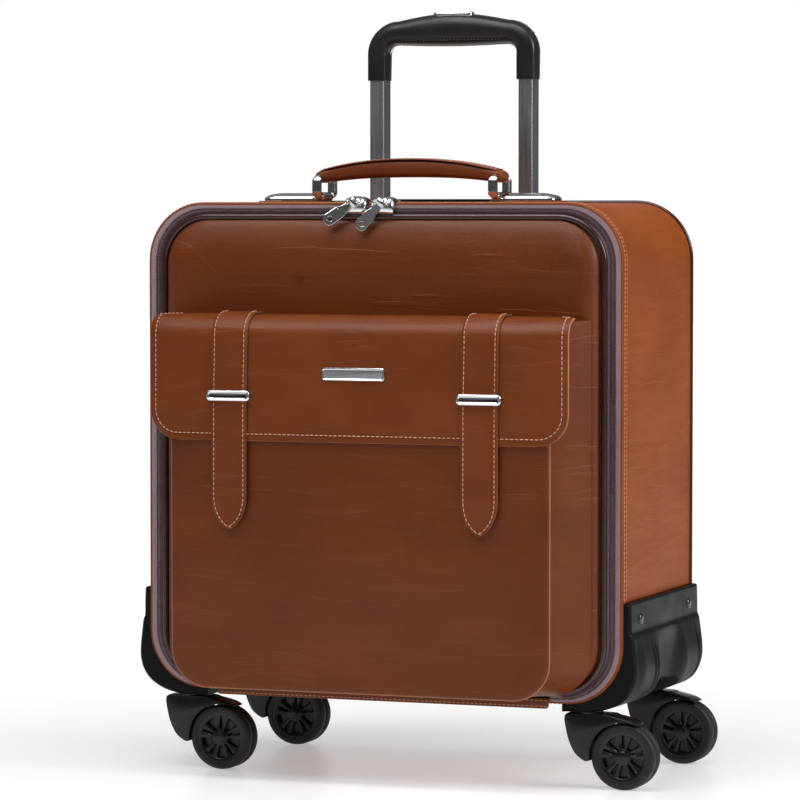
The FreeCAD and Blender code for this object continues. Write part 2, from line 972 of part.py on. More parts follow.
def pocket_panel():
    body = new_body("pocket_panel")
    sketch = front_sketch(body, "pocket_front + fit_gap")
    pocket_outline(sketch, "pocket_half_front", "pocket_low", "pocket_high - pocket_mouth_drop")
    pad(body, sketch, "pocket_wall")
    keep(body)


def discs(label, front, thick):
    """Half of the magnetic snap under each strap's tip."""
    body = new_body(label, several=True)
    sketch = front_sketch(body, front)
    for side in (-1, 1):
        circle(sketch, f"{side} * strap_across", "snap_level", "snap_radius")
    pad(body, sketch, thick)
    keep(body)


# Flap -----------------------------------------------------------------------------------------------


def bent_leather(body, across, back, low, inside, half, ridge, thick):
    """Leather that runs forwards over the ridge and down: the ridge's inner corner is (front, top)."""
    front, top = inside
    sketch = side_sketch(body, across)
    outline(
        sketch,
        [
            (f"-({back})", top),
            (f"-({front})", top, ridge),
            (f"-({front})", low),
            (f"-({front} + {thick})", low),
            (f"-({front} + {thick})", f"{top} + {thick}", f"{ridge} + {thick}"),
            (f"-({back})", f"{top} + {thick}"),
        ],
    )
    return pad(body, sketch, f"2 * {half}", both_ways=True)


def round_tip(body, feature, low, radius):
    """Round the two lower corners of a hanging piece of leather."""
    level = value(low)
    fillet(
        body,
        feature,
        radius,
        lambda edge: edge.BoundBox.ZMax < level + 0.01 and edge.BoundBox.YLength > edge.BoundBox.XLength,
    )


def flap():
    body = new_body("flap")
    inside = ("(flap_front - flap_thick)", "(flap_top - flap_thick)")
    ridge = "(flap_ridge - flap_thick)"
    leather = bent_leather(body, "0", "flap_back", "flap_low", inside, "flap_half", ridge, "flap_thick")
    round_tip(body, leather, "flap_low", "flap_corner")
    keep(body)


def strap(name, side):
    body = new_body(f"strap_{name}")
    inside = ("(flap_front + fit_gap)", "(flap_top + fit_gap)")
    across = f"{side} * strap_across"
    ridge = "(flap_ridge + fit_gap)"
    ends = ("strap_back", "strap_tip")
    leather = bent_leather(body, across, *ends, inside, "strap_half", ridge, "strap_thick")
    round_tip(body, leather, "strap_tip", "strap_half - 0.2")
    keep(body)


def strap_keepers():
    """A chrome bridge over each strap, open at the back where it meets the flap."""
    body = new_body("strap_keepers", several=True)
    sketch = level_sketch(body, "keeper_level - keeper_height / 2")
    back = "-(flap_front + fit_gap)"
    slot = "-(flap_front + strap_thick + 3 * fit_gap)"
    for side in (-1, 1):
        middle = f"{side} * strap_across"
        room = "(strap_half + 4 * fit_gap)"
        outline(
            sketch,
            [
                (f"{middle} - keeper_half", back),
                (f"{middle} - keeper_half", f"{slot} - keeper_bar", "1"),
                (f"{middle} + keeper_half", f"{slot} - keeper_bar", "1"),
                (f"{middle} + keeper_half", back),
                (f"{middle} + {room}", back),
                (f"{middle} + {room}", slot),
                (f"{middle} - {room}", slot),
                (f"{middle} - {room}", back),
            ],
        )
    pad(body, sketch, "keeper_height")
    keep(body)


def badge():
    body = new_body("badge")
    sketch = front_sketch(body, "flap_front + fit_gap")
    rectangle(
        sketch,
        "-badge_half",
        "badge_half",
        "badge_level - badge_height / 2",
        "badge_level + badge_height / 2",
        "1.5",
    )
    pad(body, sketch, "badge_thick")
    keep(body)


# Zip sliders ----------------------------------------------------------------------------------------


def pull_turn(name):
    """The direction that a pull hangs in, as a turn about the axis from front to back."""
    return Rotation(Vector(0, 1, 0), value(f"pull_{name}_turn"))


def zip_slider(name):
    """A saddle over the front edge, with two ears that carry the pull's pin."""
    across = f"slider_{name}_across"
    saddle = new_body(f"zip_saddle_{name}")
    sketch = side_sketch(saddle, across)
    outline(
        sketch,
        [
            ("-slider_back", "slider_low"),
            ("-slider_front", "slider_low", "saddle_edge"),
            ("-slider_front - saddle_lean", "case_top", "saddle_round"),
            ("-slider_front + saddle_lean", "slider_top", "saddle_round"),
            ("-slider_back + saddle_lip", "slider_top", "saddle_round"),
            ("-slider_back + saddle_lip", "case_top + saddle_clear"),
            ("-slider_back", "case_top + saddle_clear"),
        ],
    )
    pad(saddle, sketch, "slider_length", both_ways=True)
    ears = new_body(f"zip_ears_{name}", several=True)
    wing = side_sketch(ears)
    outline(
        wing,
        [
            ("pull_pin_front - slider_front - ear_clear", "-ear_half"),
            ("pull_pin_front - slider_front - ear_clear", "ear_half"),
            ("-ear_half", "ear_half", "ear_round"),
            ("-ear_half", "-ear_half", "ear_round"),
        ],
    )
    pad(ears, wing, "2 * pull_neck_half + ear_span", both_ways=True)
    gap = side_sketch(ears)
    rectangle(gap, "-3 * ear_half", "pull_pin_front", "-3 * ear_half", "3 * ear_half")
    pocket(ears, gap, "2 * (pull_neck_half + layer_gap)", both_ways=True)
    pin = side_sketch(ears)
    circle(pin, "0", "0", "pull_pin_radius")
    pad(ears, pin, "2 * pull_neck_half + ear_span", both_ways=True)
    ears.Placement.Rotation = pull_turn(name)
    bind(ears, "Placement.Base.x", across)
    bind(ears, "Placement.Base.y", "-pull_pin_front")
    bind(ears, "Placement.Base.z", "pull_pin_level")
    joined = doc.addObject("Part::Fuse", f"zip_slider_{name}")
    joined.Base = saddle
    joined.Tool = ears
    doc.recompute()
    keep(joined)


def zip_pull(name):
    """A flat tab with an eye on the pin, leaning forwards over the lid, and a padlock hole at its end."""
    body = new_body(f"zip_pull_{name}")
    tab = front_sketch(body, "0")
    outline(
        tab,
        [
            ("-pull_neck_half", "0"),
            ("-pull_neck_half", "-pull_neck_end", "pull_round"),
            ("-pull_half", "-pull_shoulder", "pull_round"),
            ("-pull_half", "-pull_length", "pull_end_round"),
            ("pull_half", "-pull_length", "pull_end_round"),
            ("pull_half", "-pull_shoulder", "pull_round"),
            ("pull_neck_half", "-pull_neck_end", "pull_round"),
            ("pull_neck_half", "0"),
        ],
    )
    pad(body, tab, "pull_thick", both_ways=True)
    eye = side_sketch(body)
    circle(eye, "0", "0", "pull_eye")
    pad(body, eye, "2 * pull_neck_half", both_ways=True)
    bore = side_sketch(body)
    circle(bore, "0", "0", "pull_pin_radius + pull_fit")
    pocket(body, bore, "4 * pull_half", both_ways=True)
    hole = front_sketch(body, "0")
    circle(hole, "0", "-pull_hole_drop", "pull_hole")
    pocket(body, hole, "4 * pull_thick", both_ways=True)
    lean = Rotation(Vector(1, 0, 0), -value("pull_lean"))
    keep(body, f"slider_{name}_across", "pull_pin_front", "pull_pin_level", pull_turn(name).multiply(lean))


# Casters --------------------------------------------------------------------------------------------


def caster_fork():
    """One fork on its swivel axis, trailing to +X: a hood over the twin wheels and a web between them."""
    body = new_body("caster_fork_shape")
    hood = front_sketch(body, "0")
    outline(
        hood,
        [
            ("-hood_back", "hood_top", "hood_edge"),
            ("hood_brow", "hood_top", "hood_round"),
            ("hood_reach", "hood_tip", "tip_round"),
            ("hood_lip", "hood_lip_level"),
            ("hood_throat", "hood_throat_level"),
            ("0", "hood_foot", "hood_edge"),
            ("-hood_heel", "hood_heel_level", "hood_round"),
        ],
    )
    pad(body, hood, "2 * hood_half", both_ways=True)
    room = front_sketch(body, "0")
    circle(room, "trail", "wheel_radius", "wheel_radius + hood_gap")
    pocket(body, room, "3 * hood_half", both_ways=True)
    web = front_sketch(body, "0")
    outline(
        web,
        [
            ("-web_back", "web_top"),
            ("-web_back", "web_throat"),
            ("web_low", "web_low_level", "hood_round"),
            ("web_end", "web_end_level", "hood_round"),
            ("web_end", "web_throat", "hood_round"),
            ("web_throat", "web_top"),
        ],
    )
    pad(body, web, "2 * web_half", both_ways=True)
    disc = level_sketch(body, "hood_top - plate_thick")
    circle(disc, "0", "0", "plate_radius")
    pad(body, disc, "plate_thick")
    stem = level_sketch(body, "hood_top - plate_thick")
    circle(stem, "0", "0", "stem_radius")
    pad(body, stem, "stem_top - hood_top + plate_thick")
    bore = front_sketch(body, "0")
    circle(bore, "trail", "wheel_radius", "axle_radius + axle_fit")
    pocket(body, bore, "3 * hood_half", both_ways=True)
    return body


def caster_axle():
    body = new_body("caster_axle_shape")
    sketch = front_sketch(body, "0")
    circle(sketch, "0", "0", "axle_radius")
    pad(body, sketch, "2 * axle_half", both_ways=True)
    return body


def turned_place(across, up, degrees):
    """Formulas for a point turned about the sketch's origin."""
    cosine, sine = f"cos({degrees} deg)", f"sin({degrees} deg)"
    return f"({across}) * {cosine} - ({up}) * {sine}", f"({across}) * {sine} + ({up}) * {cosine}"


def caster_wheel():
    """One wheel with its open face to the front: a rim, ten spokes in pairs and a hub."""
    body = new_body("caster_wheel_shape")
    section = side_sketch(body)
    outline(
        section,
        [
            ("wheel_half", "wheel_bore"),
            ("wheel_half", "wheel_radius", "tread_round"),
            ("-wheel_half", "wheel_radius", "tread_round"),
            ("-wheel_half", "rim_inner", "rim_edge"),
            ("-wheel_half + dish_deep", "dish_outer"),
            ("-wheel_half + dish_deep", "hub_foot"),
            ("-wheel_half - hub_proud", "hub_face", "hub_edge"),
            ("-wheel_half - hub_proud", "wheel_bore"),
        ],
    )
    turned = body.newObject("PartDesign::Revolution", "caster_wheel_turned")
    turned.Profile = (section, [""])
    turned.ReferenceAxis = (section, ["H_Axis"])
    turned.Angle = 360
    doc.recompute()
    openings = front_sketch(body, "0")
    outline(
        openings,
        [
            ("-opening_half_outer", "opening_outer", "opening_round_outer"),
            ("-opening_half_inner", "opening_inner", "opening_round_inner"),
            ("opening_half_inner", "opening_inner", "opening_round_inner"),
            ("opening_half_outer", "opening_outer", "opening_round_outer"),
        ],
    )
    wide = pocket(body, openings, "4 * wheel_half", both_ways=True)
    slots = front_sketch(body, "0")
    ends = [
        ("-slot_half_outer", "opening_outer"),
        ("-slot_half_inner", "slot_inner"),
        ("slot_half_inner", "slot_inner"),
        ("slot_half_outer", "opening_outer"),
    ]
    outline(slots, [turned_place(across, up, SLOT_TURN) for across, up in ends])
    narrow = pocket(body, slots, "4 * wheel_half", both_ways=True)
    pattern = body.newObject("PartDesign::PolarPattern", "caster_wheel_spokes")
    pattern.Originals = [wide, narrow]
    pattern.Axis = (openings, ["N_Axis"])
    pattern.Angle = 360
    pattern.Occurrences = OPENINGS
    body.Tip = pattern
    doc.recompute()
    return body


def copy_of(shape, label, across, front, level="0", turn=None):
    """One more of a repeated piece, in a place of its own."""
    piece = doc.addObject("Part::Compound", label)
    piece.Label = label
    piece.Links = [shape]
    keep(piece, across, front, level, turn)


def casters():
    fork = caster_fork()
    axle = caster_axle()
    wheel = caster_wheel()
    half_turn = Rotation(Vector(0, 0, 1), 180)
    for end, toward in (("front", 1), ("rear", -1)):
        for name, side in (("left", -1), ("right", 1)):
            across = f"{side} * caster_across"
            front = f"{toward} * caster_deep"
            hub = f"{across} + trail"
            corner = f"{end}_{name}"
            copy_of(fork, f"fork_{corner}", across, front)
            copy_of(axle, f"axle_{corner}", hub, front, "wheel_radius")
            ahead, behind = f"{front} + wheel_offset", f"{front} - wheel_offset"
            copy_of(wheel, f"wheel_{corner}_outer", hub, ahead, "wheel_radius")
            copy_of(wheel, f"wheel_{corner}_inner", hub, behind, "wheel_radius", half_turn)


# Assembly -------------------------------------------------------------------------------------------


def build():
    side_wall()
    back_panel()
    rear_piping()
    front_border()
    frame_board()
    case_lining()
    rear_divider()
    body_zip_tape()
    hinge_strip()
    for name, side in (("left", -1), ("right", 1)):
        corner_guard(name, side)
        carry_ring(name, side)
        strap(name, side)
        zip_slider(name)
        zip_pull(name)
    guard_rivets()
    caster_bearings()
    tubes("trolley_outer_tubes", "2 * tube_step", "tube_foot", "(case_top - fit_gap)")
    tubes("trolley_middle_tubes", "tube_step", "middle_foot", "middle_top")
    tubes("trolley_inner_tubes", "0", "inner_foot", "inner_top")
    trolley_top_plate()
    trolley_foot()
    grip_shell("grip_front_shell", True)
    grip_shell("grip_rear_shell", False)
    release_button()
    push_rods()
    anchor_pads()
    anchor_plates()
    carry_grip()
    lid_panel()
    lid_piping()
    lid_zip_tape()
    lid_lining()
    pocket_gusset()
    pocket_panel()
    discs("snap_sockets", "pocket_front + fit_gap + pocket_wall", "flap_thick - 8 * fit_gap")
    flap()
    strap_keepers()
    badge()
    discs("snap_studs", "flap_front - flap_thick + 9 * fit_gap", "flap_thick - 9 * fit_gap")
    casters()


def check():
    """Stop if any object failed to compute, or any sub-part is not a sound solid."""
    for item in doc.Objects:
        if "Invalid" in item.State or "Error" in item.State:
            raise RuntimeError(f"{item.Name} did not compute: {item.State}")
    for part in kept:
        if part.Shape.isNull() or not part.Shape.isValid() or not part.Shape.Solids:
            raise RuntimeError(f"{part.Label} has no sound shape")


def export():
    os.makedirs("parts", exist_ok=True)
    for part in kept:
        part.Shape.exportStep(os.path.join("parts", part.Label + ".step"))
    print(len(kept), "sub-parts")


fill_sheet()
build()
doc.recompute()
check()
export()
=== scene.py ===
import math

import bmesh
import bpy
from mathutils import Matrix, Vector, noise


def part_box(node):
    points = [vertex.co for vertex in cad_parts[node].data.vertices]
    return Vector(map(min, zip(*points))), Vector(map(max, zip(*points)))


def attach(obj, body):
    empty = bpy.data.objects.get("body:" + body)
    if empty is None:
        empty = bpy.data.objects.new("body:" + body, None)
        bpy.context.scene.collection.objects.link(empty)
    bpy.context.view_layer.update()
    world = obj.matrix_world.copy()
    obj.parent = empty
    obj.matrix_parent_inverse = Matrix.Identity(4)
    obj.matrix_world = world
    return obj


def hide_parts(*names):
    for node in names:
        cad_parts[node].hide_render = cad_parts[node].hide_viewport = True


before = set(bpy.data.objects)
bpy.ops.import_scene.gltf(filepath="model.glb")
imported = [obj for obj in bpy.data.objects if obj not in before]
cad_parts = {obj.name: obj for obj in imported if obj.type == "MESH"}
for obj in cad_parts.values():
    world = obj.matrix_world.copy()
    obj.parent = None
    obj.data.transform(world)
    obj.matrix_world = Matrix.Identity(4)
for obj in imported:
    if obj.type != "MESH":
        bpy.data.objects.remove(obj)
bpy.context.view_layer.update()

# Case terms: millimetres across from the middle of the case, forwards from the middle of its
# depth, and up from the floor. place() turns them into the frame's metres.
MM = 0.001
WALL_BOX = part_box("side_wall")
GUARD_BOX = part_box("corner_guard_left")
MIDDLE_X = (WALL_BOX[0].x + WALL_BOX[1].x) / 2
MIDDLE_Y = (GUARD_BOX[0].y + GUARD_BOX[1].y) / 2


def place(across, front, up):
    return Vector((MIDDLE_X + across * MM, MIDDLE_Y - front * MM, up * MM))


class Span:
    """A CAD node's box in case terms."""

    def __init__(self, node):
        low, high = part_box(node)
        self.left = (low.x - MIDDLE_X) / MM
        self.right = (high.x - MIDDLE_X) / MM
        self.back = (MIDDLE_Y - high.y) / MM
        self.front = (MIDDLE_Y - low.y) / MM
        self.low = low.z / MM
        self.high = high.z / MM
        self.half = (self.right - self.left) / 2
        self.across = (self.right + self.left) / 2
        self.level = (self.low + self.high) / 2
        self.deep = (self.front + self.back) / 2


# Materials ------------------------------------------------------------------------------------------


def new_material(name, colour, roughness, metallic=0.0, coat=0.0, coat_roughness=0.1, sheen=0.0, specular=0.5):
    """A Principled material, its tree, and the shader."""
    made = bpy.data.materials.new(name)
    made.use_nodes = True
    made.diffuse_color = (*colour, 1)
    shader = made.node_tree.nodes["Principled BSDF"]
    for socket, value in (
        ("Base Color", (*colour, 1)),
        ("Roughness", roughness),
        ("Metallic", metallic),
        ("Specular IOR Level", specular),
        ("Coat Weight", coat),
        ("Coat Roughness", coat_roughness),
        ("Sheen Weight", sheen),
    ):
        shader.inputs[socket].default_value = value
    return made, made.node_tree, shader


def stretched(tree, scale):
    """Object coordinates, stretched: a small scale along an axis draws the pattern out along it."""
    coords = tree.nodes.new("ShaderNodeTexCoord")
    mapping = tree.nodes.new("ShaderNodeMapping")
    mapping.inputs["Scale"].default_value = scale
    tree.links.new(coords.outputs["Object"], mapping.inputs["Vector"])
    return mapping.outputs["Vector"]


def noise_value(tree, scale, stretch=(1, 1, 1), detail=3.0, distortion=0.0):
    texture = tree.nodes.new("ShaderNodeTexNoise")
    texture.inputs["Scale"].default_value = scale
    texture.inputs["Detail"].default_value = detail
    texture.inputs["Distortion"].default_value = distortion
    tree.links.new(stretched(tree, stretch), texture.inputs["Vector"])
    return texture.outputs["Fac"]


def cell_value(tree, scale):
    """The distance to the nearest edge between cells."""
    texture = tree.nodes.new("ShaderNodeTexVoronoi")
    texture.feature = "DISTANCE_TO_EDGE"
    texture.inputs["Scale"].default_value = scale
    tree.links.new(stretched(tree, (1, 1, 1)), texture.inputs["Vector"])
    return texture.outputs["Distance"]


def ramp(tree, value, low, high, start=0.0, end=1.0):
    """The value, rescaled from low..high to start..end and held there outside."""
    scaled = tree.nodes.new("ShaderNodeMapRange")
    for name, number in (("From Min", low), ("From Max", high), ("To Min", start), ("To Max", end)):
        scaled.inputs[name].default_value = number
    tree.links.new(value, scaled.inputs["Value"])
    return scaled.outputs["Result"]


def mixed(tree, factor, first, second, mode="MIX"):
    """Two colours mixed by a factor. Each is a colour or a socket."""
    mix = tree.nodes.new("ShaderNodeMix")
    mix.data_type = "RGBA"
    mix.blend_type = mode
    sockets = [item for item in mix.inputs if item.type == "RGBA"]
    for socket, colour in zip(sockets, (first, second)):
        if isinstance(colour, tuple):
            socket.default_value = (*colour, 1)
        else:
            tree.links.new(colour, socket)
    if isinstance(factor, float):
        mix.inputs[0].default_value = factor
    else:
        tree.links.new(factor, mix.inputs[0])
    return next(item for item in mix.outputs if item.type == "RGBA")


def add_bump(tree, shader, layers):
    """Stack bump layers: each is a height and how far it stands, in metres."""
    before = None
    for height, distance in layers:
        bump = tree.nodes.new("ShaderNodeBump")
        bump.inputs["Distance"].default_value = distance
        tree.links.new(height, bump.inputs["Height"])
        if before is not None:
            tree.links.new(before, bump.inputs["Normal"])
        before = bump.outputs["Normal"]
    tree.links.new(before, shader.inputs["Normal"])


def math_node(tree, operation, *values):
    node = tree.nodes.new("ShaderNodeMath")
    node.operation = operation
    for value, socket in zip(values, node.inputs):
        tree.links.new(value, socket)
    return node.outputs[0]


def toward(tree, coords, direction):
    """How far a place lies in a direction."""
    dot = tree.nodes.new("ShaderNodeVectorMath")
    dot.operation = "DOT_PRODUCT"
    tree.links.new(coords, dot.inputs[0])
    dot.inputs[1].default_value = direction
    return dot.outputs["Value"]


def shade(colour, factor):
    return tuple(channel * factor for channel in colour)


def leather(name, colour, gloss=0.36, grain=1.0, specular=0.24):
    """Waxed leather: cloudy colour, fine level grain, shallow creases with a painted highlight along them, and
    pores.
    """
    made, tree, shader = new_material(name, colour, gloss, coat=0.05, coat_roughness=0.2, specular=specular)
    clouds = noise_value(tree, 11, (1, 1, 1.7), detail=5)
    streaks = noise_value(tree, 150, (0.12, 0.12, 1), detail=6, distortion=0.4)
    pores = cell_value(tree, 1100)
    creases = noise_value(tree, 22, (0.35, 0.35, 3.2), detail=2, distortion=1.2)
    fold = ramp(tree, creases, 0.60, 0.66)
    cloudy = mixed(tree, ramp(tree, clouds, 0.35, 0.68), shade(colour, 0.88), shade(colour, 1.10))
    streaky = mixed(tree, ramp(tree, streaks, 0.42, 0.7, 0.0, 0.13), cloudy, shade(colour, 0.55))
    # Along each crease the colour is lightened: a painted highlight.
    crease_highlighted = mixed(tree, ramp(tree, fold, 0.0, 1.0, 0.0, 0.09), streaky, shade(colour, 1.6))
    tree.links.new(crease_highlighted, shader.inputs["Base Color"])
    tree.links.new(ramp(tree, streaks, 0.3, 0.7, gloss - 0.03, gloss + 0.08), shader.inputs["Roughness"])
    dents = ramp(tree, pores, 0.0, 0.25)
    add_bump(tree, shader, [(streaks, 0.00022 * grain), (dents, 0.00006 * grain), (fold, 0.0002 * grain)])
    return made


def grained_plastic(name, colour, roughness=0.4, grain=0.00004, specular=0.4):
    made, tree, shader = new_material(name, colour, roughness, specular=specular)
    speck = noise_value(tree, 2600, detail=2)
    dust = noise_value(tree, 30, detail=4)
    tree.links.new(mixed(tree, dust, shade(colour, 0.8), shade(colour, 1.35)), shader.inputs["Base Color"])
    tree.links.new(ramp(tree, dust, 0.3, 0.7, roughness - 0.06, roughness + 0.08), shader.inputs["Roughness"])
    add_bump(tree, shader, [(speck, grain)])
    return made


def polished(name, colour, roughness=0.09, scratch=0.06):
    """Polished metal with faint hairline scratches and handling haze."""
    made, tree, shader = new_material(name, colour, roughness, metallic=1.0)
    hair = noise_value(tree, 900, (1, 0.05, 1), detail=2)
    haze = noise_value(tree, 60, detail=4)
    tree.links.new(ramp(tree, haze, 0.35, 0.7, roughness, roughness + scratch), shader.inputs["Roughness"])
    tree.links.new(mixed(tree, haze, shade(colour, 0.92), colour), shader.inputs["Base Color"])
    add_bump(tree, shader, [(hair, 0.000006)])
    return made


def brushed(name, colour, roughness, along=(1, 1, 0.01)):
    """Metal brushed along the axis that has the small stretch."""
    made, tree, shader = new_material(name, colour, roughness, metallic=1.0)
    lines = noise_value(tree, 2200, along, detail=3)
    haze = noise_value(tree, 25, detail=3)
    tree.links.new(ramp(tree, lines, 0.3, 0.7, roughness - 0.08, roughness + 0.1), shader.inputs["Roughness"])
    tree.links.new(mixed(tree, haze, shade(colour, 0.85), shade(colour, 1.1)), shader.inputs["Base Color"])
    add_bump(tree, shader, [(lines, 0.00002)])
    return made


def woven(name, colour, pitch=0.0011, depth=0.0001, roughness=0.8, sheen=0.2):
    """Cloth: crossed threads, in all three directions so that they show on every face."""
    made, tree, shader = new_material(name, colour, roughness, sheen=sheen)
    waves = []
    for axis in ("X", "Y", "Z"):
        wave = tree.nodes.new("ShaderNodeTexWave")
        wave.bands_direction = axis
        wave.inputs["Scale"].default_value = 0.314 / pitch
        wave.inputs["Distortion"].default_value = 0.6
        wave.inputs["Detail Scale"].default_value = 0.3
        tree.links.new(stretched(tree, (1, 1, 1)), wave.inputs["Vector"])
        waves.append(wave.outputs["Fac"])
    weave = ramp(tree, math_node(tree, "ADD", math_node(tree, "ADD", *waves[:2]), waves[2]), 0.4, 2.4)
    worn = noise_value(tree, 40, detail=4)
    threads = mixed(tree, weave, shade(colour, 0.55), shade(colour, 1.3))
    faded = mixed(tree, ramp(tree, worn, 0.4, 0.7, 0.0, 0.3), threads, shade(colour, 0.7))
    tree.links.new(faded, shader.inputs["Base Color"])
    add_bump(tree, shader, [(weave, depth)])
    return made


LEATHER = (0.270, 0.060, 0.0090)
CASE_LEATHER = leather("case_leather_look", shade(LEATHER, 1.0), gloss=0.46, specular=0.10)
# The lid's and the flap's leather are the case leather darkened: painted shade for the dimmer light on the
# front. The flap's is a little less dark, a painted sheen.
SHADED_LID_LEATHER = leather("shaded_lid_leather_look", shade(LEATHER, 0.54), gloss=0.31)
SHADED_FLAP_LEATHER = leather("shaded_flap_leather_look", shade(LEATHER, 0.64), gloss=0.31)
EDGE_PAINT = leather("edge_paint_look", (0.36, 0.15, 0.070), gloss=0.5, grain=0.4)
# The straps' edge paint, made darker than the flap's as painted shade along the straps' sides.
STRAP_EDGE_PAINT_AND_SHADE = leather("strap_edge_look", (0.15, 0.050, 0.026), gloss=0.45, grain=0.4)
DARK_EDGE = leather("dark_edge_look", (0.030, 0.010, 0.006), gloss=0.4, grain=0.4)
PIPING = leather("piping_look", (0.040, 0.014, 0.012), gloss=0.16, grain=0.25, specular=0.5)
THREAD = woven("thread_look", (0.66, 0.36, 0.22), pitch=0.0006, depth=0.00004, roughness=0.6)
TAPE = woven("zip_tape_look", (0.32, 0.215, 0.235), pitch=0.0009, depth=0.00008)
TEETH = grained_plastic("zip_teeth_look", (0.12, 0.078, 0.086), roughness=0.26, grain=0.00001)
CHROME = polished("chrome_look", (0.80, 0.80, 0.82))
STEEL = polished("steel_look", (0.42, 0.42, 0.43), roughness=0.24)
# Dark metal for the keepers' groove: painted shade in the recess.
GROOVE_SHADE_STEEL = polished("groove_shade_steel_look", (0.12, 0.12, 0.125), roughness=0.2)
TUBE = brushed("tube_look", (0.40, 0.41, 0.43), roughness=0.34)
RIVET = polished("rivet_look", (0.10, 0.10, 0.105), roughness=0.26)
PLAQUE = brushed("plaque_look", (0.62, 0.62, 0.64), roughness=0.3, along=(0.01, 1, 1))
GUARD_PLASTIC = grained_plastic("guard_plastic_look", (0.0050, 0.0056, 0.0053), roughness=0.38, specular=0.10)
GRIP_PLASTIC = grained_plastic("grip_plastic_look", (0.0100, 0.0105, 0.0115), roughness=0.34, specular=0.4)
GRIP_THREAD = woven("grip_thread_look", (0.26, 0.26, 0.26), pitch=0.0006, depth=0.00004, roughness=0.6)
HUB_PLASTIC = grained_plastic("hub_plastic_look", (0.0065, 0.0062, 0.0070), roughness=0.28, grain=0.00001)
BLACK_PLASTIC = grained_plastic("black_plastic_look", (0.0065, 0.0065, 0.0072), roughness=0.30, grain=0.00002)
RUBBER = grained_plastic("rubber_look", (0.0100, 0.0098, 0.0105), roughness=0.50, grain=0.00006)
LINING = woven("lining_look", (0.20, 0.15, 0.11), pitch=0.0014, depth=0.00008, roughness=0.75)
BOARD = woven("board_look", (0.10, 0.07, 0.05), pitch=0.004, depth=0.00005, roughness=0.9)

LOOKS = {
    "case_leather": CASE_LEATHER,
    "front_leather": SHADED_LID_LEATHER,
    "piping": PIPING,
    "zip_tape": TAPE,
    "lining": LINING,
    "board": BOARD,
    "black_plastic": GUARD_PLASTIC,
    "wheel_rubber": RUBBER,
    "steel": STEEL,
    "tube_aluminium": TUBE,
    "chrome": CHROME,
}


def dress_cad_nodes():
    """Each CAD node's own material gives way to the look of the same slot."""
    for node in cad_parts.values():
        for item in node.material_slots:
            name = item.material.name.split(".")[0]
            item.material = LOOKS[name]


# Mesh building --------------------------------------------------------------------------------------


class Shape:
    """Points in case terms and faces with a material number, made into one Blender object."""

    def __init__(self):
        self.points = []
        self.faces = []
        self.marks = []

    def face(self, corners, mark=0):
        self.faces.append(corners)
        self.marks.append(mark)

    def loft(self, loops, around=True, joined=False, caps=(False, False), mark=0):
        """Quads between loops of equal length. around closes each loop; joined closes the last
        loop to the first; caps fill the first and last loops."""
        start = len(self.points)
        size = len(loops[0])
        for loop in loops:
            self.points.extend(loop)
        rows = len(loops)
        for row in range(rows if joined else rows - 1):
            here = start + row * size
            there = start + (row + 1) % rows * size
            for item in range(size if around else size - 1):
                after = (item + 1) % size
                self.face((here + item, here + after, there + after, there + item), mark)
        if caps[0]:
            self.face(tuple(range(start, start + size))[::-1], mark)
        if caps[1]:
            self.face(tuple(range(start + (rows - 1) * size, start + rows * size)), mark)

    def make(self, name, materials, body, slot, stands_for=(), smooth_angle=35):
        mesh = bpy.data.meshes.new(name)
        mesh.from_pydata([place(*point) for point in self.points], [], self.faces)
        mesh.polygons.foreach_set("material_index", self.marks)
        for item in materials if isinstance(materials, list) else [materials]:
            mesh.materials.append(item)
        tidy = bmesh.new()
        tidy.from_mesh(mesh)
        bmesh.ops.remove_doubles(tidy, verts=tidy.verts, dist=1e-7)
        bmesh.ops.recalc_face_normals(tidy, faces=tidy.faces)
        for edge in tidy.edges:
            edge.smooth = len(edge.link_faces) == 2 and edge.calc_face_angle(0) < math.radians(smooth_angle)
        for item in tidy.faces:
            item.smooth = True
        tidy.to_mesh(mesh)
        tidy.free()
        made = bpy.data.objects.new(name, mesh)
        bpy.context.scene.collection.objects.link(made)
        if stands_for:
            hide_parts(*stands_for)
        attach(made, body)
        return made


def solid(loops):
    """A closed shape through the loops, filled at both ends."""
    shape = Shape()
    shape.loft(loops, caps=(True, True))
    return shape


def bend(across, up, radius, first, arc):
    """A quarter turn from an angle in degrees: (across, up, out_across, out_up) for each point."""
    turns = [math.radians(first + 90 * step / arc) for step in range(arc + 1)]
    return [(across + radius * math.cos(turn), up + radius * math.sin(turn), math.cos(turn), math.sin(turn))
            for turn in turns]


def rounded(left, right, low, high, radius, arc=10, line=10):
    """Round a rectangle from the middle of its bottom edge, rightwards: (across, up, out_across,
    out_up) for each point. radius is one number, or one for the bottom corners and one for the top."""
    bottom, top = radius if isinstance(radius, tuple) else (radius, radius)
    bends = [
        bend(right - bottom, low + bottom, bottom, -90, arc),
        bend(right - top, high - top, top, 0, arc),
        bend(left + top, high - top, top, 90, arc),
        bend(left + bottom, low + bottom, bottom, 180, arc),
    ]
    points = []
    for now, after in zip(bends, bends[1:] + bends[:1]):
        points.extend(now)
        for step in range(1, line):
            points.append(tuple(a + (b - a) * step / line for a, b in zip(now[-1], after[0])))
    return points


def at_front(points, front):
    """Stand flat (across, up, ...) points up at a distance forwards."""
    return [(across, front, up) for across, up, *_ in points]


def at_level(points, up):
    """Lay flat (across, front, ...) points down at a height."""
    return [(across, front, up) for across, front, *_ in points]


def plate_loops(left, right, low, high, radius, rows, base, line=8):
    """A standing plate's loops, one for each (inset, rise) of its edge's profile."""
    return [at_front(rounded(left + gap, right - gap, low + gap, high - gap, max(0.3, radius - gap), 6, line),
                     base + rise) for gap, rise in rows]


def around(count):
    """Angles evenly round a full turn."""
    return [2 * math.pi * step / count for step in range(count)]


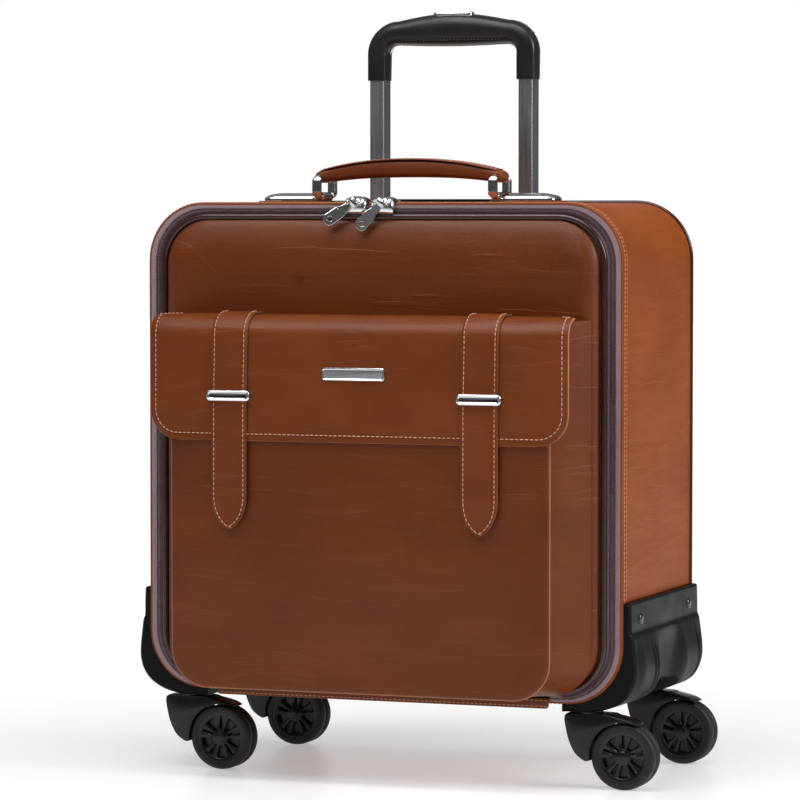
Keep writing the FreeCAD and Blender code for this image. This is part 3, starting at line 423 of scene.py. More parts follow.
def boxy(value, power):
    """A sine or cosine with its size raised to a power: below 1 it makes a round section boxy."""
    return math.copysign(abs(value) ** power, value)


def mirrored(profile):
    """A wheel's profile from one face to the middle, carried on to the other face."""
    return profile + [(size, -along) for size, along in profile[::-1]]


def smooth(value, low, high):
    """0 below low, 1 above high, and an even curve between."""
    share = max(0.0, min(1.0, (value - low) / (high - low)))
    return share * share * (3 - 2 * share)


def soft_noise(across, up, size, seed):
    return noise.noise(Vector((across / size, up / size, seed)))


def through(points, steps):
    """A smooth line through a few points (Catmull-Rom), each stretch cut into steps."""
    ends = [points[0]] + list(points) + [points[-1]]
    found = []
    for index in range(1, len(ends) - 2):
        a, b, c, d = (Vector(ends[index + shift]) for shift in (-1, 0, 1, 2))
        for step in range(steps):
            t = step / steps
            bent = (2 * a - 5 * b + 4 * c - d) * t * t + (3 * b - a - 3 * c + d) * t**3
            found.append(0.5 * (2 * b + (c - a) * t + bent))
    found.append(Vector(points[-1]))
    return found


def neighbours(points, index):
    """The points before and after one of an open line, or itself at an end."""
    return points[max(0, index - 1)], points[min(len(points) - 1, index + 1)]


def length_steps(path, step):
    """Places every step along a path of 3-D points, as (place, direction)."""
    path = [Vector(point) for point in path]
    found = []
    travelled, wanted = 0.0, 0.0
    for start, finish in zip(path, path[1:]):
        size = (finish - start).length
        if size < 1e-9:
            continue
        along = (finish - start) / size
        while wanted <= travelled + size:
            found.append((start + along * (wanted - travelled), along))
            wanted += step
        travelled += size
    return found


def tube(shape, path, radius, sides=12, closed=False, mark=0):
    """A round tube along a path; radius is a number or one for each point."""
    path = [Vector(point) for point in path]
    count = len(path)
    radii = radius if isinstance(radius, list) else [radius] * count
    normal = None
    loops = []
    for index, point in enumerate(path):
        before = path[index - 1] if index or closed else point
        after = path[(index + 1) % count] if index < count - 1 or closed else point
        along = (after - before).normalized()
        if normal is None:
            normal = along.orthogonal().normalized()
        normal = (normal - along * normal.dot(along)).normalized()
        other = along.cross(normal)
        loops.append([tuple(point + (normal * math.cos(turn) + other * math.sin(turn)) * radii[index])
                      for turn in around(sides)])
    shape.loft(loops, joined=closed, caps=(not closed, not closed), mark=mark)


def revolve(shape, centre, profile, steps=48, mark=0, axis="front"):
    """A ring or disc of revolution. The profile holds (radius, place along the axis)."""
    loops = []
    for radius, along in profile:
        loop = []
        for turn in around(steps):
            wide, high = radius * math.cos(turn), radius * math.sin(turn)
            places = {"front": (wide, along, high), "across": (along, wide, high), "up": (wide, high, along)}
            offset = places[axis]
            loop.append(tuple(middle + shift for middle, shift in zip(centre, offset)))
        loops.append(loop)
    closed = profile[0] == profile[-1]
    shape.loft(loops[:-1] if closed else loops, joined=closed, caps=(not closed, not closed), mark=mark)


# One stitch, as shares of its length and of the thread's radius: place along, height, and radius.
STITCH = [(0.0, -0.45, 0.4), (0.18, 0.12, 0.95), (0.5, 0.28, 1.0), (0.82, 0.12, 0.95), (1.0, -0.45, 0.4)]


def add_stitches(shape, path, out, pitch=4.2, stitch=3.0, thread=0.42):
    """Thread stitches along a path. out is the way the surface faces, or a function of the place."""
    for spot, along in length_steps(path, pitch):
        face = Vector(out(spot)) if callable(out) else Vector(out)
        line = [tuple(spot + along * (share * stitch) + face * (lift * thread)) for share, lift, _ in STITCH]
        tube(shape, line, [thread * size for _, _, size in STITCH], sides=6)


# Case -----------------------------------------------------------------------------------------------

CASE = Span("side_wall")
CASE_FRONT = Span("front_border").front
CASE_THICK = 3.2
CORNER = 46
TOP_SHARE, BOTTOM_SHARE, CORNER_SHARE = 0.75, 0.6, 0.6
BORDER_INSET = 6.2
ZIP_INSET = 8.65
ZIP_END = 20  # how far above the case's floor the zip's two ends turn in
TOOTH_PITCH = 1.62
LID = Span("lid_panel")
STRIP = Span("hinge_strip")
GRIP = Span("grip_front_shell")
GRIP_REAR = Span("grip_rear_shell")
LEG = 17  # width of the trolley grip's legs


def case_loop(inset, arc=12, line=16):
    """The case's outline, drawn in: the top and bottom edges take less of the inset than the sides."""
    low, high = CASE.low + BOTTOM_SHARE * inset, CASE.high - TOP_SHARE * inset
    return rounded(-CASE.half + inset, CASE.half - inset, low, high, CORNER - CORNER_SHARE * inset, arc, line)


def swell(front, up, out_across):
    """How far the padded sides stand out between their edges."""
    if abs(out_across) < 0.5:
        return 0.0
    rise = max(0.0, math.sin(math.pi * (up - 150) / (CASE.high - 165))) if up > 150 else 0.0
    return 1.8 * rise * max(0.0, math.cos(math.pi * front / 2 / 90)) ** 0.6


def case_wall():
    """The wall round the case, from its front facing over the edge, along the sides and in at the back."""
    back, front = CASE.back, CASE_FRONT
    facing = [(BORDER_INSET, front - 3), (BORDER_INSET, front - 0.5), (BORDER_INSET - 0.7, front - 0.2)]
    facing += [(4.0, front - 0.2), (2.0, front - 0.3)]
    edge = [(2.0, front + 0.1), (1.2, front + 0.2), (0.5, front - 0.5), (0.1, front - 2.0), (0, front - 4.0)]
    edge += [(-0.3, front - 6.0), (-0.3, front - 9.5), (0, front - 11)]
    sides = [(0, 80 - 10 * step) for step in range(17)]
    rear = [(0, back + 1.5), (0.5, back + 0.2), (1.6, back), (CASE_THICK, back), (CASE_THICK, front - 3)]
    loops = []
    for inset, depth in facing + edge + sides + rear:
        loop = []
        for across, up, out_across, _ in case_loop(inset):
            grow = swell(depth, up, out_across) if inset == 0 else 0.0
            loop.append((across + grow * out_across, depth, up))
        loops.append(loop)
    shape = Shape()
    shape.loft(loops, joined=True)
    for index in range((len(facing) - 1) * len(loops[0])):
        shape.marks[index] = 1
    nodes = ["side_wall", "front_border"]
    made = shape.make("case_wall", [CASE_LEATHER, TAPE], "root", "case_leather", nodes)
    cut(made, trolley_holes())


def trolley_holes():
    """Blocks where the trolley tubes come up through the wall, with room round each tube."""
    tubes = Span("trolley_middle_tubes")
    room = 0.8
    leg = GRIP.half - LEG / 2
    half = tubes.right - leg + room
    shape = Shape()
    for side in (-1, 1):
        loop = rounded(side * leg - half, side * leg + half, tubes.back - room, tubes.front + room, 2.5, 5, 4)
        shape.loft([at_level(loop, up) for up in (CASE.high - 12, CASE.high + 12)], caps=(True, True))
    return shape


def outward(spot):
    """The way the wall faces, across and up, at a place on it."""
    reach, low, high = CASE.half - CORNER, CASE.low + CORNER, CASE.high - CORNER
    core = Vector((max(-reach, min(reach, spot.x)), spot.y, max(low, min(high, spot.z))))
    return (spot - core).normalized()


def border_stitches():
    """Two rows of stitches round the wall's front edge."""
    shape = Shape()
    for behind in (3.2, 8.0):
        path = at_front(case_loop(-0.15, 16, 12), CASE_FRONT - behind)
        add_stitches(shape, path + path[:1], outward, pitch=3.6, stitch=2.5, thread=0.34)
    shape.make("border_stitches", THREAD, "root", "case_leather")


def back_cover():
    """A crowned leather panel sewn round its edge."""
    flat = Span("back_panel")
    corner = CORNER - CORNER_SHARE * (CASE.half - flat.half)
    steps = [(0, -0.3), (0.2, 2.4), (1.2, 3.6), (3, 4.0), (7, 4.2), (9, 3.7), (11, 4.3), (20, 4.9)]
    steps += [(40, 5.3), (70, 5.6), (110, 5.8), (150, 5.9)]
    loops = []
    for gap, rise in steps:
        low, high = flat.low + gap, flat.high - gap
        loop = rounded(-flat.half + gap, flat.half - gap, low, high, corner * (1 - gap / flat.half), 12, 16)
        loops.append(at_front(loop, flat.front - rise))
    shape = solid(loops)
    made = shape.make("back_cover", CASE_LEATHER, "root", "case_leather", ["back_panel"])
    seam = 9
    seams = Shape()
    loop = rounded(-flat.half + seam, flat.half - seam, flat.low + seam, flat.high - seam, 34, 12, 16)
    path = at_front(loop, flat.front - 3.8)
    add_stitches(seams, path + path[:1], (0, -1, 0), pitch=4.4, stitch=3.1)
    seams.make("back_stitches", THREAD, "root", "case_leather")


def back_piping():
    """Glossy piping that stands just outside the wall's back edge."""
    shape = Shape()
    tube(shape, at_front(case_loop(-0.3, 16, 12), CASE.back + 1.6), 1.7, closed=True)
    shape.make("back_piping", PIPING, "root", "piping", ["rear_piping"])


def zip_path(inset, front):
    """The zip's line from one end of the hinge strip, up, over and down to the other end."""
    low = CASE.low + ZIP_END
    loop = at_front(case_loop(inset, 16, 12), front)
    path = [point for point in loop if point[2] >= low or abs(point[0]) >= STRIP.half]
    start = next(index for index, point in enumerate(path) if point[0] > 0 and point[2] < low)
    return path[start:] + path[:start]


def zip_teeth(name, side, body):
    """One row of moulded teeth: side 1 is the case's row and -1 the lid's, half a pitch further on."""
    shape = Shape()
    centre = Vector((0, 0, CASE.level))
    section = [(-0.5, None), (-0.34, 1), (0.34, 1), (0.5, None)]
    path = zip_path(ZIP_INSET, Span("body_zip_tape").front)
    for spot, along in length_steps(path, TOOTH_PITCH):
        out = Vector((along.z, 0, -along.x))
        if out.dot(spot - centre) < 0:
            out = -out
        spot = spot + along * (TOOTH_PITCH / 2 if side < 0 else 0.0)
        root, tip = out * (2.9 * side), out * (-0.45 * side)
        loops = []
        for reach, rise in ((root, 0.55), (root * 0.75 + tip * 0.25, 1.25), (tip, 1.45)):
            loops.append([tuple(spot + reach + along * shift + Vector((0, rise if high else -0.1, 0)))
                          for shift, high in section])
        shape.loft(loops, caps=(True, True))
    shape.make(name, TEETH, body, "zip_tape")


def hinge_cover():
    """The leather strip along the bottom that the lid turns on."""
    rows = [(0, STRIP.back), (0, STRIP.front - 0.6), (0.4, STRIP.front - 0.1), (1.0, STRIP.front + 0.1)]
    loops = []
    for gap, front in rows:
        low, high = STRIP.low + gap, STRIP.high - gap
        loops.append(at_front(rounded(STRIP.left + gap, STRIP.right - gap, low, high, 2.6, 5, 24), front))
    shape = solid(loops)
    shape.make("hinge_cover", SHADED_FLAP_LEATHER, "root", "case_leather", ["hinge_strip"])
    seams = Shape()
    for up in (STRIP.low + 2.0, STRIP.high - 2.0):
        path = [(across, STRIP.front + 0.1, up) for across in (STRIP.left + 3, STRIP.right - 3)]
        add_stitches(seams, path, (0, 1, 0), pitch=3.8, stitch=2.6, thread=0.32)
    seams.make("hinge_stitches", THREAD, "root", "case_leather")


# Lid and pocket -------------------------------------------------------------------------------------


def lid_pad():
    """The lid's padded front: a broad roll along the top, tighter rolls at the sides and bottom."""
    radius, deepest = 34, 28
    start = 1.6  # how far outside the panel's edge the roll begins
    seat = LID.back + 3.3
    rise = LID.front - seat

    def ring(turn, inward):
        """One loop: turn runs up over the roll, and inward then runs from the roll to the middle."""
        loop = []
        for across, up, out_across, out_up in rounded(LID.left, LID.right, LID.low, LID.high, radius, 14, 22):
            roll = 13 + 24 * max(0.0, out_up) ** 2
            gap = (roll + start) * (1 - math.cos(turn)) ** 0.85 - start
            gap += (LID.half - 1 - gap) * inward
            pull = min(gap, deepest)
            share = 1 - gap / (LID.half - 0.5) if inward or gap >= deepest else 1.0
            if inward:
                share /= 1 - pull / LID.half
            across = (across - out_across * pull) * share
            up = (up - LID.level - out_up * pull) * share + LID.level
            soft = 0.35 * soft_noise(across, up, 38, 3) + 0.5 * inward * (1 - inward)
            loop.append((across, seat + rise * math.sin(turn) + soft * max(0, math.sin(turn)), up))
        return loop

    first = math.asin(max(-1, (LID.back - seat) / rise))
    loops = [ring(first + (math.pi / 2 - first) * step / 14, 0) for step in range(15)]
    loops += [ring(math.pi / 2, step / 26) for step in range(1, 26)]
    shape = solid(loops)
    shape.make("lid_pad", SHADED_LID_LEATHER, "lid", "front_leather", ["lid_panel"])


def fullness(across, up):
    """How far the filled pocket stands out beyond its flat front, in the middle most of all."""
    rise = smooth(up, 80, 190) * (1 - 0.45 * smooth(up, 290, 352))
    return 5.5 * rise * max(0.0, 1 - (across / 172) ** 4)


GUSSET = Span("pocket_gusset")
POCKET = Span("pocket_panel")
FLAP = Span("flap")
POCKET_CORNER = 30
POCKET_TOP = 349
RIDGE = 16  # radius of the bend where the flap turns down


def pocket_path(half, low, high, radius, arc=12, line=22):
    """Down the left side, round the bottom and up the right side: (across, up, out_across, out_up)."""
    side, foot = half - radius, low + radius
    points = [(-half, high + (foot - high) * step / line, -1, 0) for step in range(line)]
    points += bend(-side, foot, radius, 180, arc)
    points += [(-side + 2 * side * step / line, low, 0, -1) for step in range(1, line)]
    points += bend(side, foot, radius, 270, arc)
    points += [(half, foot + (high - foot) * step / line, 1, 0) for step in range(1, line + 1)]
    return points


def pocket_bellows():
    """The pocket's side and bottom wall, wide where it meets the lid and drawn in at the front."""
    wall = 2.4
    # (share of the way forwards, how far it puffs out, how far it sinks back)
    stations = [(0.0, 2.2, -1.4), (0.03, 0.6, -0.4), (0.1, 0.0, 0), (0.22, -0.6, 0), (0.38, -1.4, 0)]
    stations += [(0.55, -1.9, 0), (0.7, -1.7, 0), (0.84, -0.9, 0), (0.94, -0.1, 0), (1.0, 0.2, 0)]
    outer, inner = [], []
    for share, puff, sink in stations:
        half = GUSSET.half + (POCKET.half - GUSSET.half) * share
        front = GUSSET.back + (GUSSET.front - GUSSET.back) * share + sink
        past = max(0.0, front - (FLAP.front - RIDGE))
        crest = FLAP.high - RIDGE + math.sqrt(max(0.0, (RIDGE - wall) ** 2 - past**2))
        row_out, row_in = [], []
        path = pocket_path(half, GUSSET.low, min(GUSSET.high, crest), POCKET_CORNER)
        for across, up, out_across, out_up in path:
            soft = puff + 0.5 * soft_noise(front, up + across, 30, 7)
            row_out.append((across + out_across * soft, front, up + out_up * soft * 0.5))
            row_in.append((across - out_across * (wall - soft), front, up - out_up * (wall - soft * 0.5)))
        outer.append(row_out)
        inner.append(row_in)
    shape = Shape()
    shape.loft(outer + inner[::-1], around=False, joined=True)
    made = shape.make("pocket_bellows", SHADED_LID_LEATHER, "lid", "front_leather", ["pocket_gusset"])
    rounder = made.modifiers.new("soft", "SUBSURF")
    rounder.levels = rounder.render_levels = 1


def pocket_face():
    """The pocket's front panel, gently filled below the flap."""
    rows = [(0.6, 0.0), (0.0, 0.6), (0.0, 1.4), (0.5, 2.1), (1.5, 2.45)]
    rows += [(gap, 2.5) for gap in [3, 6, 10] + [16 + 7 * step for step in range(20)]]
    loops = []
    for gap, rise in rows:
        share = gap / POCKET.half
        level_gap = gap * (POCKET_TOP - POCKET.low) / 2 / POCKET.half
        radius = (POCKET_CORNER * (1 - share), 2 * (1 - share) + 0.1)
        low, high = POCKET.low + level_gap, POCKET_TOP - level_gap
        row = []
        for across, up, *_ in rounded(POCKET.left + gap, POCKET.right - gap, low, high, radius, 12, 24):
            fill = fullness(across, up) * smooth(gap, 0.5, 30)
            soft = 0.3 * soft_noise(across, up, 32, 11) * smooth(gap, 3, 12)
            row.append((across, POCKET.back + rise + fill + soft, up))
        loops.append(row)
    shape = solid(loops)
    shape.make("pocket_face", SHADED_LID_LEATHER, "lid", "front_leather", ["pocket_panel"])


def pocket_welt():
    """The pale welt where the pocket's front is sewn to its side wall."""
    shape = Shape()
    path = pocket_path(POCKET.half + 0.2, POCKET.low - 0.2, POCKET_TOP - 1, POCKET_CORNER)
    tube(shape, at_front(path, POCKET.back), 0.85, sides=8)
    shape.make("pocket_welt", EDGE_PAINT, "lid", "front_leather")


class Leaf:
    """A strip of leather that runs forwards over the pocket's ridge and hangs down its front."""

    def __init__(self, back, top, front, low, ridge, half, tip, power, draw=0.0):
        self.back, self.top, self.front, self.low = back, top, front, low
        self.ridge, self.width, self.tip, self.power = ridge, half, tip, power
        self.draw = draw
        self.level_run = front - ridge - back
        self.bend_run = ridge * math.pi / 2
        self.drop_run = top - ridge - low
        self.size = self.level_run + self.bend_run + self.drop_run

    def place(self, run, across, lift=0.0):
        """The outer face at a distance along the leaf: the place, and the way the face looks."""
        if run < self.level_run:
            centre = (self.back + run, self.top)
            out = (0.0, 1.0)
        elif run < self.level_run + self.bend_run:
            turn = (run - self.level_run) / self.ridge
            out = (math.sin(turn), math.cos(turn))
            front, top = self.front - self.ridge, self.top - self.ridge
            centre = (front + self.ridge * out[0], top + self.ridge * out[1])
        else:
            centre = (self.front, self.top - self.ridge - (run - self.level_run - self.bend_run))
            out = (1.0, 0.0)
        full = fullness(across, centre[1]) * out[0]
        return (across, centre[0] + out[0] * lift + full, centre[1] + out[1] * lift)

    def half(self, run):
        """Half the leaf's width, drawn in towards its rounded end."""
        near = (run - (self.size - self.tip)) / self.tip
        if near <= 0:
            return self.width - self.draw * (1 - min(1.0, run / self.level_run))
        if self.power == 1:
            return self.width - self.tip + self.tip * math.sqrt(max(0.0, 1 - near * near))
        return max(0.6, self.width * (1 - near**2) ** self.power)

    def runs(self, coarse=6.0):
        """Distances along the leaf: finer over the ridge and towards the tip."""
        found = [self.level_run * step / 6 for step in range(6)]
        found += [self.level_run + self.bend_run * step / 10 for step in range(10)]
        straight = self.drop_run - self.tip
        count = max(2, int(straight / coarse))
        found += [self.level_run + self.bend_run + straight * step / count for step in range(count)]
        found += [self.size - self.tip + self.tip * math.sin(math.pi / 2 * step / 12) for step in range(13)]
        return found

    def edge(self, inset, start=0.0):
        """The line inset from the leaf's edge: down one side, round the end and up the other."""
        side = [(self.half(run), run) for run in self.runs() if run >= start]
        half = side[-1][0]
        end = [(-half + half * step / 15, self.size) for step in range(1, 30)]
        points = [(-half, run) for half, run in side] + end + [(half, run) for half, run in side[::-1]]
        moved = []
        for index, (across, run) in enumerate(points):
            before, after = neighbours(points, index)
            step = Vector((after[0] - before[0], after[1] - before[1]))
            if step.length < 1e-6:
                continue
            step.normalize()
            moved.append((across + step.y * inset, run - step.x * inset))
        return moved


def leaf_piece(leaf, name, across, thick, materials, stands_for, columns, soft=0.0):
    """The leaf with its thickness and softly rounded, painted edges."""
    shape = Shape()
    edge = min(0.6, thick / 3)
    section = [(-1, -thick + edge, 0), (-1, -edge, 0), (-1, 0, edge)]
    section += [(-1 + 2 * step / columns, 0, edge) for step in range(1, columns)]
    section += [(1, 0, edge), (1, -edge, 0), (1, -thick + edge, 0), (1, -thick, edge)]
    section += [(1 - 2 * step / columns, -thick, edge) for step in range(1, columns)]
    section += [(-1, -thick, edge)]
    loops = []
    for run in leaf.runs():
        half = leaf.half(run)
        row = []
        for share, lift, inset in section:
            offset = share * (half - inset) if abs(share) == 1 else share * (half - edge)
            wave = soft * soft_noise(offset + across, run, 26, 17) if lift == 0 else 0.0
            row.append(leaf.place(run, across + offset, lift + wave))
        loops.append(row)
    last = leaf.size + edge * 0.5
    half = max(0.2, leaf.half(leaf.size) - edge)
    loops.append([leaf.place(last, across + share * half, lift * 0.6 - thick * 0.2)
                  for share, lift, _ in section])
    shape.loft(loops, caps=(True, True))
    size = len(section)
    rim = {0, 1, 2, columns + 2, columns + 3, columns + 4, columns + 5, size - 1}
    for index, corners in enumerate(shape.faces):
        at_rim = {corner % size for corner in corners} <= rim
        if at_rim or len(corners) > 4 or index >= (len(loops) - 2) * size:
            shape.marks[index] = 1
    shape.make(name, materials, "flap", "front_leather", stands_for, smooth_angle=50)


def leaf_stitches(leaf, name, across, inset, body, start, thread=0.4):
    shape = Shape()
    path = [leaf.place(run, across + offset, 0.22) for offset, run in leaf.edge(inset, start)]
    ridge = (leaf.front - leaf.ridge, leaf.top - leaf.ridge)

    def out(spot):
        if spot.z > ridge[1]:
            return Vector((0, max(0.0, spot.y - ridge[0]), spot.z - ridge[1])).normalized()
        return Vector((0, 1, 0))

    add_stitches(shape, path, out, pitch=3.9, stitch=2.8, thread=thread)
    shape.make(name, THREAD, body, "front_leather")


def pocket_flap():
    leaf = Leaf(FLAP.back, FLAP.high, FLAP.front, FLAP.low, RIDGE, FLAP.half, 24, 1, draw=15)
    leaf_piece(leaf, "pocket_flap", 0, 2.0, [SHADED_FLAP_LEATHER, EDGE_PAINT], ["flap"], 60, soft=0.22)
    leaf_stitches(leaf, "flap_stitches", 0, 5.2, "flap", leaf.level_run * 0.3)


def straps():
    for name in ("left", "right"):
        strap = Span("strap_" + name)
        leaf = Leaf(strap.back + 4, strap.high, strap.front, strap.low, RIDGE + 2.3, strap.half, 26, 0.62)
        looks = [SHADED_FLAP_LEATHER, STRAP_EDGE_PAINT_AND_SHADE]
        leaf_piece(leaf, "buckle_strap_" + name, strap.across, 2.2, looks, ["strap_" + name], 12)
        leaf_stitches(leaf, "strap_stitches_" + name, strap.across, 2.5, "flap", 4.0, thread=0.36)


def keepers():
    """Chrome keepers: a rounded bar with a raised rim and a groove along its middle, painted dark as its
    shade.
    """
    span = Span("strap_keepers")
    strap = Span("strap_right")
    half = span.right - strap.across
    rows = [(0.5, 0.0), (0.0, 0.8), (0.0, 3.0), (0.35, 4.1), (1.1, 4.75), (1.9, 4.9), (2.5, 4.6), (2.8, 4.1)]
    groove = [(2.8, 4.1), (3.2, 3.9)]
    shape = Shape()
    for side in (-1, 1):
        centre = strap.across * side
        outline = (centre - half, centre + half, span.low, span.high, 3.4)
        base = span.back + fullness(centre, span.level)
        shape.loft(plate_loops(*outline, rows, base, 6), caps=(True, False))
        # The groove takes the dark metal: painted shade in the recess.
        shape.loft(plate_loops(*outline, groove, base, 6), caps=(False, True), mark=1)
    shape.make("buckle_keepers", [CHROME, GROOVE_SHADE_STEEL], "flap", "chrome", ["strap_keepers"])


def plaque():
    """A plain metal plaque with a raised rim."""
    span = Span("badge")
    outline = (span.left, span.right, span.low, span.high, 2.4)
    rim = [(0.4, 0.0), (0.0, 0.4), (0.0, 1.1), (0.4, 1.5), (0.9, 1.55), (1.3, 1.2), (1.6, 0.95)]
    base = span.back + fullness(0, span.level)
    shape = Shape()
    shape.loft(plate_loops(*outline, rim, base), caps=(True, False))
    shape.loft(plate_loops(*outline, [(1.6, 0.95), (2.2, 1.0)], base), caps=(False, True), mark=1)
    shape.make("name_plaque", [CHROME, PLAQUE], "flap", "chrome", ["badge"])


# Carry handle ---------------------------------------------------------------------------------------

HANDLE = Span("carry_grip")
HANDLE_UNDER = 475.4  # height of the underside at the middle of its arch
HANDLE_END = 5.5  # length of the rounded end


def grip_section(across):
    """The grip's middle height, half height and half depth at a place across."""
    share = min(1.0, abs(across) / (HANDLE.half - HANDLE_END))
    top = HANDLE.high + 2.4 - (HANDLE.high + 1.8 - 482.1) * share**2.2
    under = HANDLE_UNDER - (HANDLE_UNDER - HANDLE.low) * share**2.6
    return (top + under) / 2, (top - under) / 2, (HANDLE.front - HANDLE.back) / 2 - 0.4 * share


def carry_handle():
    """Padded body under a wider top strap, wrapped round the ring bars at both ends."""
    body = Shape()
    loops = []
    for across in [HANDLE.half * math.sin(math.pi / 2 * step / 40) for step in range(-40, 41)]:
        middle, tall, deep = grip_section(across)
        near = max(0.0, (abs(across) - (HANDLE.half - HANDLE_END)) / HANDLE_END)
        squeeze = math.sqrt(max(0.0, 1 - near**2)) if near < 1 else 0.06
        wide, high = (deep - 1.0) * (0.55 + 0.45 * squeeze), (tall - 0.8) * squeeze
        loop = []
        for turn in around(28):
            front, up = boxy(math.cos(turn), 0.5) * wide, boxy(math.sin(turn), 0.5) * high
            loop.append((across, HANDLE.deep + front, middle + up))
        loops.append(loop)
    body.loft(loops, caps=(True, True))
    made = body.make("carry_grip_body", SHADED_FLAP_LEATHER, "carry_handle", "front_leather", ["carry_grip"])
    section = [(-0.96, -1.0), (-0.98, -0.5), (-0.94, 0.0), (-0.6, 0.5), (0, 0.7), (0.6, 0.5)]
    section += [(0.94, 0.0), (0.98, -0.5), (0.96, -1.0), (0.5, -1.2), (0, -1.2), (-0.5, -1.2)]
    rows = []
    for across in [HANDLE.half * 0.93 * step / 34 for step in range(-34, 35)]:
        middle, tall, deep = grip_section(across)
        half = deep * (1 - 0.25 * max(0.0, abs(across) / HANDLE.half - 0.8) / 0.2)
        crown = middle + tall - 0.6
        rows.append([(across, HANDLE.deep + wide * half, crown + rise) for wide, rise in section])
    top = solid(rows)
    for index in range((len(rows) - 1) * len(section)):
        if index % len(section) in (0, 7):
            top.marks[index] = 1
    top.make("carry_grip_top", [SHADED_FLAP_LEATHER, DARK_EDGE], "carry_handle", "front_leather")
    seams = Shape()
    for side in (-1, 1):
        path = []
        for across in [HANDLE.half * 0.9 * step / 34 for step in range(-34, 35)]:
            middle, tall, deep = grip_section(across)
            path.append((across, HANDLE.deep + side * deep * 0.78, middle + tall - 0.25))
        add_stitches(seams, path, (0, 0, 1), pitch=3.4, stitch=2.4, thread=0.32)
    seams.make("carry_grip_stitches", THREAD, "carry_handle", "front_leather")


# Handle hardware -------------------------------------------------------------------------------------


def anchors():
    """Domed chrome plates that hold the ring bars in a rolled knuckle, on leather tabs."""
    plates = Span("anchor_plates")
    pads = Span("anchor_pads")
    ring = Span("carry_ring_right")
    steps = [(0.4, 0.0), (0.0, 0.5), (0.0, 1.6), (0.5, 2.7), (1.6, 3.9), (3.2, 4.9), (5.2, 5.6), (8, 6.1)]
    steps += [(11.4, 6.3)]
    barrel = [(3.2, -9.5), (3.9, -9.1), (4.0, -8.2), (4.0, 8.2), (3.9, 9.1), (3.2, 9.5)]
    tab_edge = [(0.3, pads.low), (0, pads.low + 0.3), (0, pads.high - 0.5), (0.3, pads.high - 0.1)]
    tab_edge += [(0.9, pads.high)]
    shape = Shape()
    tabs = Shape()
    for side in (-1, 1):
        loops = []
        for gap, rise in steps:
            ends = sorted((side * (ring.across + 1.5 + gap * 0.6), side * (plates.right - gap * 1.5)))
            loop = rounded(*ends, plates.back + gap, plates.front - gap, max(0.3, 7 - gap * 0.55), 6, 8)
            loops.append(at_level(loop, plates.low + rise))
        shape.loft(loops, caps=(True, True))
        revolve(shape, (side * ring.across, plates.deep, ring.low + ring.half), barrel, steps=24)
        ends = sorted((side * (ring.across - 7), side * pads.right))
        loops = []
        for gap, up in tab_edge:
            loop = rounded(ends[0] + gap, ends[1] - gap, pads.back + gap, pads.front - gap, 8 - gap, 6, 8)
            loops.append(at_level(loop, up))
        tabs.loft(loops, caps=(True, True))
    shape.make("ring_anchors", CHROME, "root", "chrome", ["anchor_plates"])
    tabs.make("ring_tabs", SHADED_FLAP_LEATHER, "root", "front_leather", ["anchor_pads"])


def rings():
    """Each ring: round where it turns in its knuckle and in the grip, a broad band at its sides."""
    for name in ("left", "right"):
        span = Span("carry_ring_" + name)
        wire = span.half
        loops = []
        path = rounded(span.back + wire, span.front - wire, span.low + wire, span.high - wire, 4, 8, 8)
        for front, up, out_front, out_up in path:
            band = smooth(abs(out_front), 0.2, 1.0)
            wide, thick, power = wire + 1.9 * band, wire - 0.6 * band, 1.0 - 0.6 * band
            loop = []
            for turn in around(16):
                reach, rise = boxy(math.cos(turn), power) * wide, boxy(math.sin(turn), power) * thick
                loop.append((span.across + reach, front + out_front * rise, up + out_up * rise))
            loops.append(loop)
        shape = Shape()
        shape.loft(loops, joined=True)
        shape.make("ring_band_" + name, CHROME, "ring_" + name, "chrome", ["carry_ring_" + name])


def zip_sliders():
    """Each slider: a domed saddle over the zip's edge with a cheek on either side of the pull's pin."""
    pin_front, pin_up = 101, CASE.high
    cheek = [(1.0, 0), (2.5, 0.15), (2.9, 0.6), (2.9, 1.5), (2.5, 1.95), (1.0, 2.1)]
    face, tall, back = CASE_FRONT + 3.2, 14.2, CASE_FRONT - 14
    low = CASE.high - 9.5
    for name in ("left", "right"):
        span = Span("zip_slider_" + name)
        loops = []
        for step in range(15):
            share = -1 + step / 7
            dome = math.sqrt(max(0.0, 1 - abs(share) ** 2.6))
            across = span.across + share * 9.2
            top = CASE.high + 1.2 + 3.8 * dome
            front_line = [(-3.0, 0.0), (0.4, -0.5), (1.6 + 1.2 * dome, -2.5), (2.0 + 2.2 * dome, -6)]
            front_line += [(2.0 + 2.4 * dome, -10), (1.2 + 2.0 * dome, -13), (0.6, -tall), (-0.6, -tall)]
            line = [(across, face + front, top + up * (top - low) / tall) for front, up in front_line]
            line += [(across, CASE_FRONT + 1.2, CASE.high + 0.5), (across, back, CASE.high + 0.5)]
            line += [(across, back, CASE.high + 1.0 + 1.2 * dome), (across, CASE_FRONT - 4, top)]
            loops.append(line)
        shape = solid(loops)
        for side in (-1, 1):
            centre = (span.across + side * 3.9, pin_front, pin_up)
            revolve(shape, centre, [(size, side * along) for size, along in cheek], steps=24, axis="across")
        nodes = ["zip_slider_" + name]
        shape.make("zip_saddle_" + name, CHROME, "slider_" + name, "chrome", nodes, smooth_angle=50)


BAR_UNDER = 586.5  # height of the bar's underside


